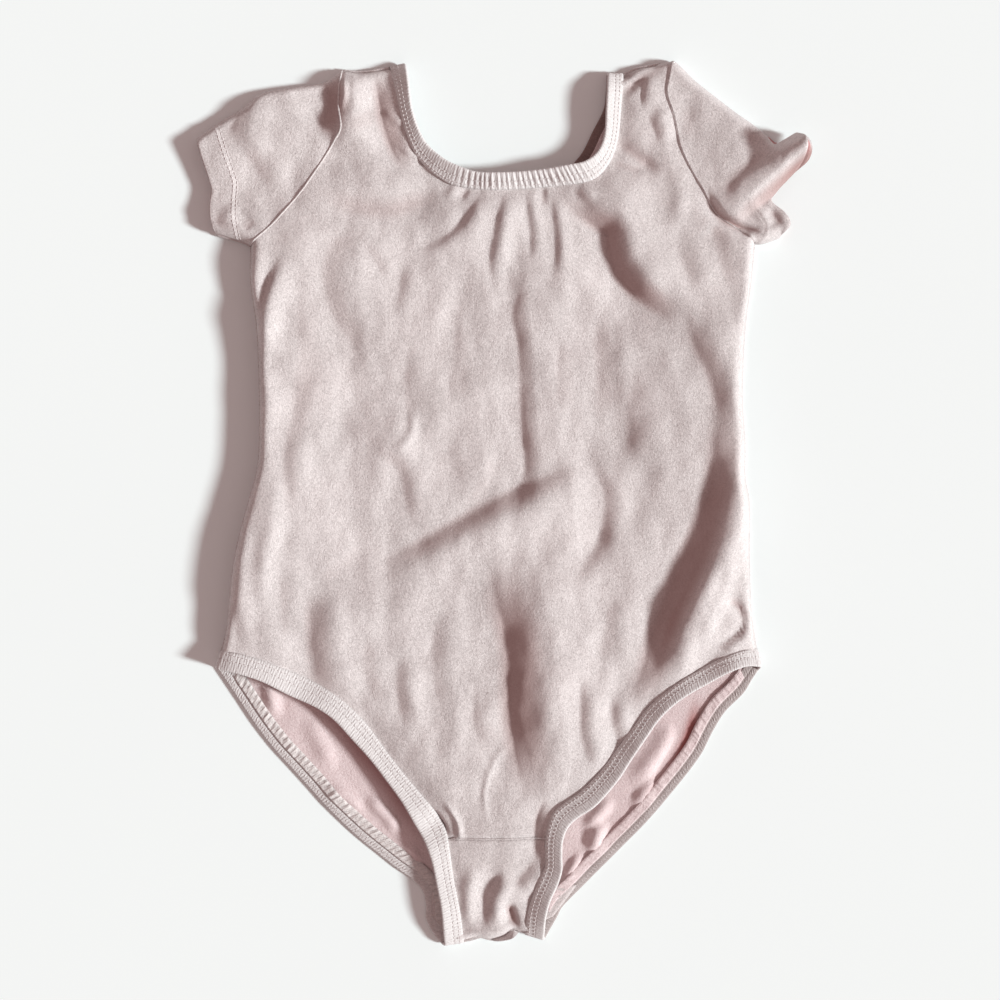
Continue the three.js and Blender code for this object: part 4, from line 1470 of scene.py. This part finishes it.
@dataclass
class Binding:
    """Elasticated band round one opening: a folded strip over its elastic, sewn with two rows."""

    name: str
    bench: Bench
    drape: Drape
    opening: Marks
    inner: Marks
    back: Marks
    into_back: float
    stand: float = 2.2
    width: float = BAND_WIDTH
    half: float = 0.95
    ply: float = 0.6
    spacing: float = 0.62
    pleats: tuple[float, float] | None = None
    pleats_fade: float = 8.0
    # weight of the shade painted on the back half of the band
    painted_back_shade: float = 0.0
    elastic_edges: tuple[float, float] = (1.3, 7.3)
    elastic_half: float = 0.22
    rows_at: tuple[float, float] = (0.52, 0.80)
    ruffle_span: tuple[float, float] = (5.2, 10.8)
    ruffle_clear: float = 0.75
    ruffle_ply: float = 0.5

    def rails(self) -> tuple[np.ndarray, np.ndarray, int]:
        """Middle of the band's open edge and of its sewn edge, all the way round.

        Returns:
            The two rails, and how many of their points lie on the front.
        """
        front_open, front_in = flowing(self.opening, 500), flowing(self.inner, 500)
        back_open = flowing(self.back, 500)
        back_in = back_open + squared(back_open, TINY) * self.into_back * self.width
        ends = np.linspace(0, 1, 500)
        for index, target in ((0, front_in[-1]), (-1, front_in[0])):
            near = smooth(1 - (ends if index == 0 else 1 - ends) / 0.09)[:, None]
            back_in = back_in * (1 - near) + (target - (front_open[-1] if index == 0 else front_open[0])
                                              + back_open) * near
        front_count = int(np.linalg.norm(np.diff(front_open, axis=0), axis=1).sum() / self.spacing)
        back_count = int(np.linalg.norm(np.diff(back_open, axis=0), axis=1).sum() / self.spacing)
        closed = smooth(self.drape.to_closed(front_open) / 14)
        zin = self.drape.front(front_in) - 0.1
        zopen = self.drape.front(front_open) * 0.5 + zin * 0.5 + 0.5 + self.stand * closed
        back_z = np.full(500, 1.2)
        over = np.maximum(self.levelled(self.drape.back(back_in)) + 0.4, 1.2)
        rails = []
        for front, high, back, low in ((front_open, self.levelled(zopen), back_open, back_z),
                                       (front_in, self.levelled(zin), back_in, over)):
            rail = [even(np.column_stack([front, high]), front_count),
                    even(np.column_stack([back, low]), back_count)]
            rails.append(self.eased(np.vstack(rail)))
        return rails[0], rails[1], front_count

    @staticmethod
    def levelled(height: np.ndarray) -> np.ndarray:
        """Average a height over the 25 places round each one."""
        return np.convolve(np.pad(height, 12, mode="edge"), np.ones(25) / 25, "valid")

    @staticmethod
    def eased(rail: np.ndarray) -> np.ndarray:
        """Round a closed rail off where it turns over."""
        for _ in range(3):
            rail = (np.roll(rail, 1, 0) + 2 * rail + np.roll(rail, -1, 0)) / 4
        return rail

    def section(self) -> tuple[np.ndarray, np.ndarray]:
        """Places of the folded strip across the band and off its middle, from the inside round."""
        turn = np.linspace(-np.pi / 2, np.pi / 2, 7)[1:-1]
        flat = np.linspace(self.width, self.half, 9)
        across = np.concatenate([flat, self.half - self.half * np.cos(turn), flat[::-1]])
        off = np.concatenate([np.full(9, -1.0), np.sin(turn), np.full(9, 1.0)]) * self.half
        return across, off

    @staticmethod
    def outward(open_rail: np.ndarray, in_rail: np.ndarray, front: int) -> np.ndarray:
        """Direction out of the band.

        Args:
            open_rail: the open edge.
            in_rail: the sewn edge.
            front: how many points lie on the front.

        Returns:
            The direction at each point.
        """
        way = np.roll(open_rail + in_rail, -2, 0) - np.roll(open_rail + in_rail, 2, 0)
        way /= np.linalg.norm(way, axis=1)[:, None] + TINY
        width = (in_rail - open_rail) / (np.linalg.norm(in_rail - open_rail, axis=1)[:, None] + TINY)
        out = np.cross(way, width)
        out /= np.linalg.norm(out, axis=1)[:, None] + TINY
        return out if out[front // 2, 2] > 0 else -out

    def build(self, finishes: Finishes) -> list[bpy.types.Object]:
        """Make the strip, its elastic, the ruffled allowance inside the back and the stitches.

        Args:
            finishes: the garment's materials.

        Returns:
            The pieces.
        """
        open_rail, in_rail, front = self.rails()
        out = self.outward(open_rail, in_rail, front)
        o, i, n = ring(open_rail), ring(in_rail), ring(out)
        along = travelled(o)
        across, off = self.section()
        share = across[None, :, None] / self.width
        lay = o[:, None] + (i - o)[:, None] * share + off[None, :, None] * n[:, None]
        wobble = np.array([noise.noise((s / 9, 3.1, self.width)) for s in along])
        ribs = np.sin(2 * np.pi * along / 2.9 + 4 * wobble)
        depth = np.full(len(along), 0.035)
        if self.pleats:
            start, end = self.pleats[0] - self.pleats_fade, self.pleats[1] + self.pleats_fade
            x = o[:, 0]
            middle = (x > start) & (x < end) & (np.arange(len(o)) < front)
            fade = smooth((x - start) / 14) * smooth((end - x) / 14)
            depth = depth + np.where(middle, 0.42 * fade, 0)
        swell = (depth * ribs)[:, None] * np.sin(np.pi * np.clip(across / self.width, 0.12, 1))[None] ** 0.5
        lay = lay + (swell * np.sign(off)[None])[:, :, None] * n[:, None]
        work = bmesh.new()
        # painted shade, on the back half only
        back_shade_paint = np.where(np.arange(len(along)) > front, self.painted_back_shade, 0.0)
        self.bench.grid(work, lay, {"along": np.tile(along[:, None], (1, len(across))),
                                    "across": np.tile(across, (len(along), 1)),
                                    "painted_shade": np.tile(back_shade_paint[:, None], (1, len(across)))})
        strip = self.bench.finish(f"{self.name}_band", work, finishes.binding, None, self.ply)
        # where much shade is painted, the ruffle takes the pinker inside finish, painted bounced light and
        # shade
        frill = finishes.inside if self.painted_back_shade > 1 else finishes.ruffle
        return [strip, self.elastic(o, i, n, along, finishes.elastic),
                self.stitch_rows(o, i, n, front, finishes.thread),
                self.ruffle(open_rail, in_rail, out, front, frill)]

    def elastic(self, o: np.ndarray, i: np.ndarray, n: np.ndarray, along: np.ndarray,
                finish: bpy.types.Material) -> bpy.types.Object:
        """Flat elastic inside the fold.

        Args:
            o: the open edge, closed into a ring.
            i: the sewn edge, closed into a ring.
            n: the direction out of the band.
            along: distance round the band.
            finish: the elastic's material.

        Returns:
            The elastic.
        """
        low, high = self.elastic_edges
        middle = (low + high) / 2
        across = np.array([low, middle, high, high, middle, low, low])
        off = self.elastic_half * np.array([1, 1, 1, -1, -1, -1, 1])
        keep = np.unique(np.append(np.arange(0, len(o), 3), len(o) - 1))
        o, i, n, along = o[keep], i[keep], n[keep], along[keep]
        lay = o[:, None] + (i - o)[:, None] * across[None, :, None] / self.width
        lay = lay + off[None, :, None] * n[:, None]
        work = bmesh.new()
        self.bench.grid(work, lay, {"along": np.tile(along[:, None], (1, len(across))),
                                    "across": np.tile(across, (len(along), 1))})
        return self.bench.finish(f"{self.name}_elastic_strip", work, finish, upward=None)

    def stitch_rows(self, o: np.ndarray, i: np.ndarray, n: np.ndarray, front: int,
                    finish: bpy.types.Material) -> bpy.types.Object:
        """Two rows of stitches outside, and a zigzag on the inside where the back's shows.

        Args:
            o: the open edge, closed into a ring.
            i: the sewn edge, closed into a ring.
            n: the direction out of the band.
            front: how many points lie on the front.
            finish: the thread's material.

        Returns:
            The joined stitches.
        """
        sewing = Sewing(self.bench)
        for share in self.rows_at:
            sewing.run(o + (i - o) * share + n * (self.half + 0.16), pitch=2.3, length=1.5, radius=0.25)
        back = slice(front + 6, len(o) - 6)
        if self.pleats:
            return sewing.finish(f"{self.name}_stitches", finish)
        line = (o + (i - o) * 0.3 - n * (self.half + 0.1))[back]
        sewing.run(line, pitch=1.9, length=0.9, radius=0.17, swing=((i - o) * 0.11)[back])
        return sewing.finish(f"{self.name}_stitches", finish)

    def ruffle(self, o: np.ndarray, i: np.ndarray, out: np.ndarray, front: int,
               finish: bpy.types.Material) -> bpy.types.Object:
        """Ruffled allowance that lies inside the back, beside the fold.

        Args:
            o: the open edge.
            i: the sewn edge.
            out: the direction out of the band.
            front: how many points lie on the front.
            finish: its material.

        Returns:
            The ruffle.
        """
        pick = slice(front + 10, len(o) - 10)
        o, i, out = o[pick], i[pick], out[pick]
        run = np.arange(len(o)) * self.spacing
        start, end = self.ruffle_span
        across = np.linspace(start, end, 9)
        ends = np.minimum(1, np.minimum(np.arange(len(o)), np.arange(len(o))[::-1]) / 18)
        wander = np.array([noise.noise((s / 7, 9.1, self.width)) for s in run])[:, None]
        wave = np.sin(2 * np.pi * (run[:, None] / 3.4 + across[None] / 9 + 0.9 * wander))
        swell = np.sin(np.pi * (across - start) / (end - start + 0.2))[None] ** 0.5
        rise = self.half + self.ruffle_clear + (0.22 * wave * (1 + 1.4 * wander) + 0.7 * wander) * swell
        rise = rise * ends[:, None] - 0.5 * smooth((across - end + 1.4) / 1.4)[None]
        lay = o[:, None] + (i - o)[:, None] * across[None, :, None] / self.width
        lay = lay - rise[:, :, None] * out[:, None]
        work = bmesh.new()
        self.bench.grid(work, lay, {"along": np.tile(run[:, None], (1, len(across))),
                                    "across": np.tile(across, (len(o), 1))})
        return self.bench.finish(f"{self.name}_ruffle", work, finish, upward=True,
                                 thickness=self.ruffle_ply)


# --------------------------------------------------------------------------------------------------
# Stage
# --------------------------------------------------------------------------------------------------


@dataclass
class Stage:
    """Pale table, low key light from the lower right, soft fill, and the camera straight above."""

    layout: Layout
    camera_height: float = 0.9
    view_width: float = 0.56
    view_centre: tuple[float, float] = (-0.0007, 0.0022)
    key_strength: float = 4.45
    key_azimuth: float = -14.0
    key_elevation: float = 28.0
    key_spread: float = 9.0
    key_colour: Colour = (0.905, 1.0, 1.0)
    fill: Colour = (0.37, 0.275, 0.265)
    table_drop: float = 0.0002
    cloth_middle: float = 0.008

    def table(self) -> bpy.types.Object:
        """Make the table top."""
        work = bmesh.new()
        bmesh.ops.create_grid(work, x_segments=8, y_segments=8, size=3.0,
                              matrix=Matrix.Translation((0, 0, self.layout.table - self.table_drop)))
        mesh = bpy.data.meshes.new("table_top")
        work.to_mesh(mesh)
        work.free()
        mesh.materials.append(TableTop().material())
        top = bpy.data.objects.new("table_top", mesh)
        bpy.context.scene.collection.objects.link(top)
        top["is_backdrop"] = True
        return top

    def lights(self) -> None:
        """Set the key light and the fill."""
        sun = bpy.data.lights.new("key", "SUN")
        sun.energy, sun.angle = self.key_strength, math.radians(self.key_spread)
        sun.color = self.key_colour
        lamp = bpy.data.objects.new("key", sun)
        a, e = math.radians(self.key_azimuth), math.radians(self.key_elevation)
        source = Vector((math.cos(a) * math.cos(e), math.sin(a) * math.cos(e), math.sin(e)))
        lamp.rotation_mode = "QUATERNION"
        lamp.rotation_quaternion = source.to_track_quat("Z", "Y")
        bpy.context.scene.collection.objects.link(lamp)
        world = bpy.data.worlds.new("fill")
        world.use_nodes = True
        world.node_tree.nodes["Background"].inputs["Color"].default_value = (*self.fill, 1)
        world.node_tree.nodes["Background"].inputs["Strength"].default_value = 1.0
        bpy.context.scene.world = world

    def camera(self) -> None:
        """Hang the camera over the garment."""
        data = bpy.data.cameras.new("camera")
        data.sensor_width = 36.0
        data.lens = data.sensor_width * self.camera_height / self.view_width
        eye = bpy.data.objects.new("camera", data)
        eye.location = (*self.view_centre, self.layout.table + self.cloth_middle + self.camera_height)
        bpy.context.scene.collection.objects.link(eye)
        bpy.context.scene.camera = eye

    def build(self) -> None:
        """Set the whole stage."""
        self.table()
        self.lights()
        self.camera()
        view = bpy.context.scene.view_settings
        view.view_transform, view.look, view.exposure, view.gamma = "Standard", "None", 0.0, 1.0


# --------------------------------------------------------------------------------------------------
# The garment
# --------------------------------------------------------------------------------------------------


@dataclass
class Leotard:
    """The whole garment."""

    layout: Layout
    outline: Outline
    finishes: Finishes

    def __post_init__(self) -> None:
        """Set out what every piece shares."""
        self.drape = Drape(self.outline)
        self.bench = Bench(self.layout)

    def raised(self, flat: np.ndarray, lift: float, front: bool = True) -> np.ndarray:
        """Put a flat line on a layer.

        Args:
            flat: the line in plan.
            lift: how far above the layer's middle.
            front: which layer.

        Returns:
            The line's places.
        """
        height = self.drape.front(flat) if front else self.drape.back(flat)
        return np.column_stack([flat, height + lift])

    def seam(self, name: str, node: str, radius: float, line: np.ndarray, body: str = "torso") -> None:
        """Make a seam's ridge and hand it over.

        Args:
            name: the piece's name.
            node: the CAD node that it stands for.
            radius: of the ridge, in mm.
            line: the places that it follows.
            body: the body that it rides on.
        """
        piece = Bead(name, self.bench, radius).build(line, self.finishes.jersey)
        hand_over(piece, "jersey", [node], body)

    def panels(self) -> None:
        """Make the front and back of the body."""
        front = BodyPanel("front_body", True, self.bench, self.drape, (64, 64, 50), 206, 40)
        piece = front.build(self.finishes.jersey)
        hand_over(piece, "jersey", ["front_panel"])
        back = BodyPanel("back_body", False, self.bench, self.drape, (44, 50, 40), 170, 34)
        piece = back.build(self.finishes.inside)
        # the back layer wears the inside finish, a pinker copy that paints bounced light
        hand_over(piece, "jersey", ["back_panel"])

    def crotch(self) -> None:
        """Make the gusset, its lining and its two seams."""
        outer, inner = Gusset(self.bench, self.drape).build(self.finishes)
        hand_over(outer, "jersey", ["gusset"])
        hand_over(inner, "lining", ["gusset_lining"])
        o = self.outline
        front = np.linspace((-30, o.gusset_front), (25, o.gusset_front), 40)
        self.seam("front_gusset_ridge", "front_gusset_seam", 0.4, self.raised(front, 0.0))
        back = np.linspace((-38, o.gusset_back), (38, o.gusset_back), 40)
        self.seam("back_gusset_ridge", "back_gusset_seam", 0.5, self.raised(back, 0.3, False))

    def bands(self) -> None:
        """Make the three bindings."""
        o = self.outline
        # the last number is the weight of shade painted on each band's back half
        for name, opening, inner, back, way, stand, pleats, shade in (
            ("neck", o.neck_open, o.neck_inner, o.back_neck, 1.0, 4.2, (-24.0, 42.0), 2.6),
            ("left_leg", o.left_leg_open, o.left_leg_inner, o.left_leg_back[::-1], -1.0, 2.4, None, 0.15),
            ("right_leg", o.right_leg_open, o.right_leg_inner, o.right_leg_back[::-1], 1.0, 2.7, None, 1.5),
        ):
            band = Binding(name, self.bench, self.drape, opening, inner, back, way,
                           stand=stand, pleats=pleats, painted_back_shade=shade)
            strip, elastic, stitches, ruffle = band.build(self.finishes)
            hand_over(strip, "binding", [f"{name}_binding"])
            hand_over(elastic, "elastic", [f"{name}_elastic"])
            hand_over(stitches, "thread", [f"{name}_stitching"])
            hand_over(ruffle, "binding", [])
            length = self.length_of(strip)

    @staticmethod
    def length_of(strip: bpy.types.Object) -> float:
        """Length round a band, from the distances that its mesh carries."""
        marks = strip.data.attributes["along"]
        return max(m.value for m in marks.data) * MM

    def arms(self) -> None:
        """Make the sleeves, their hems and the seams that set them in."""
        o = self.outline
        for side, arm, under, fold, root, tip in (
            ("left", o.left_armhole, o.left_underarm, o.left_sleeve_under, (-0.1055, 0.1912, 0.014),
             (-0.1245, 0.2003, 0.014)),
            ("right", o.right_armhole, o.right_underarm, o.right_sleeve_under, (0.1090, 0.1918, 0.015),
             (0.1285, 0.2004, 0.015)),
        ):
            tube, ply, stitches = Sleeve(side, self.bench, self.drape).build(self.finishes)
            for piece, slot, node in ((tube, "jersey", "sleeve"), (ply, "jersey", "sleeve_hem"),
                                      (stitches, "thread", "hem_stitching")):
                hand_over(piece, slot, [f"{side}_{node}"], None)
                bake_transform(piece)
                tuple(root)
                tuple(tip)
            line = chained(flowing(arm, 70), flowing(under, 40))
            self.seam(f"{side}_armhole_ridge", f"{side}_armhole_seam", 0.55, self.raised(line, 0.12))
            low = self.raised(flowing(fold, 14), 0.2, False)
            self.seam(f"{side}_underarm_ridge", f"{side}_underarm_seam", 0.8, low, f"{side}_sleeve")

    def side_seams(self) -> None:
        """Make the side and shoulder seams."""
        o = self.outline
        for side, line, shoulder, radius in (("left", o.left_side, o.left_shoulder, 1.0),
                                             ("right", o.right_side, o.right_shoulder, 0.7)):
            for part, marks, count, level, thick in (("side", line, 160, 2.3, radius),
                                                     ("shoulder", shoulder, 30, 2.4, 0.9)):
                places = np.column_stack([flowing(marks, count), np.full(count, level)])
                self.seam(f"{side}_{part}_ridge", f"{side}_{part}_seam", thick, places)

    def build(self) -> None:
        """Make every piece in order."""
        self.panels()
        self.crotch()
        self.bands()
        self.arms()
        self.side_seams()


def main() -> None:
    """Set the stage and make the garment."""
    logging.basicConfig(level=logging.INFO, format="%(message)s")
    layout = Layout.from_frame()
    Stage(layout).build()
    Leotard(layout, Outline(), Finishes.mixed()).build()


if __name__ == "__main__":
    main()
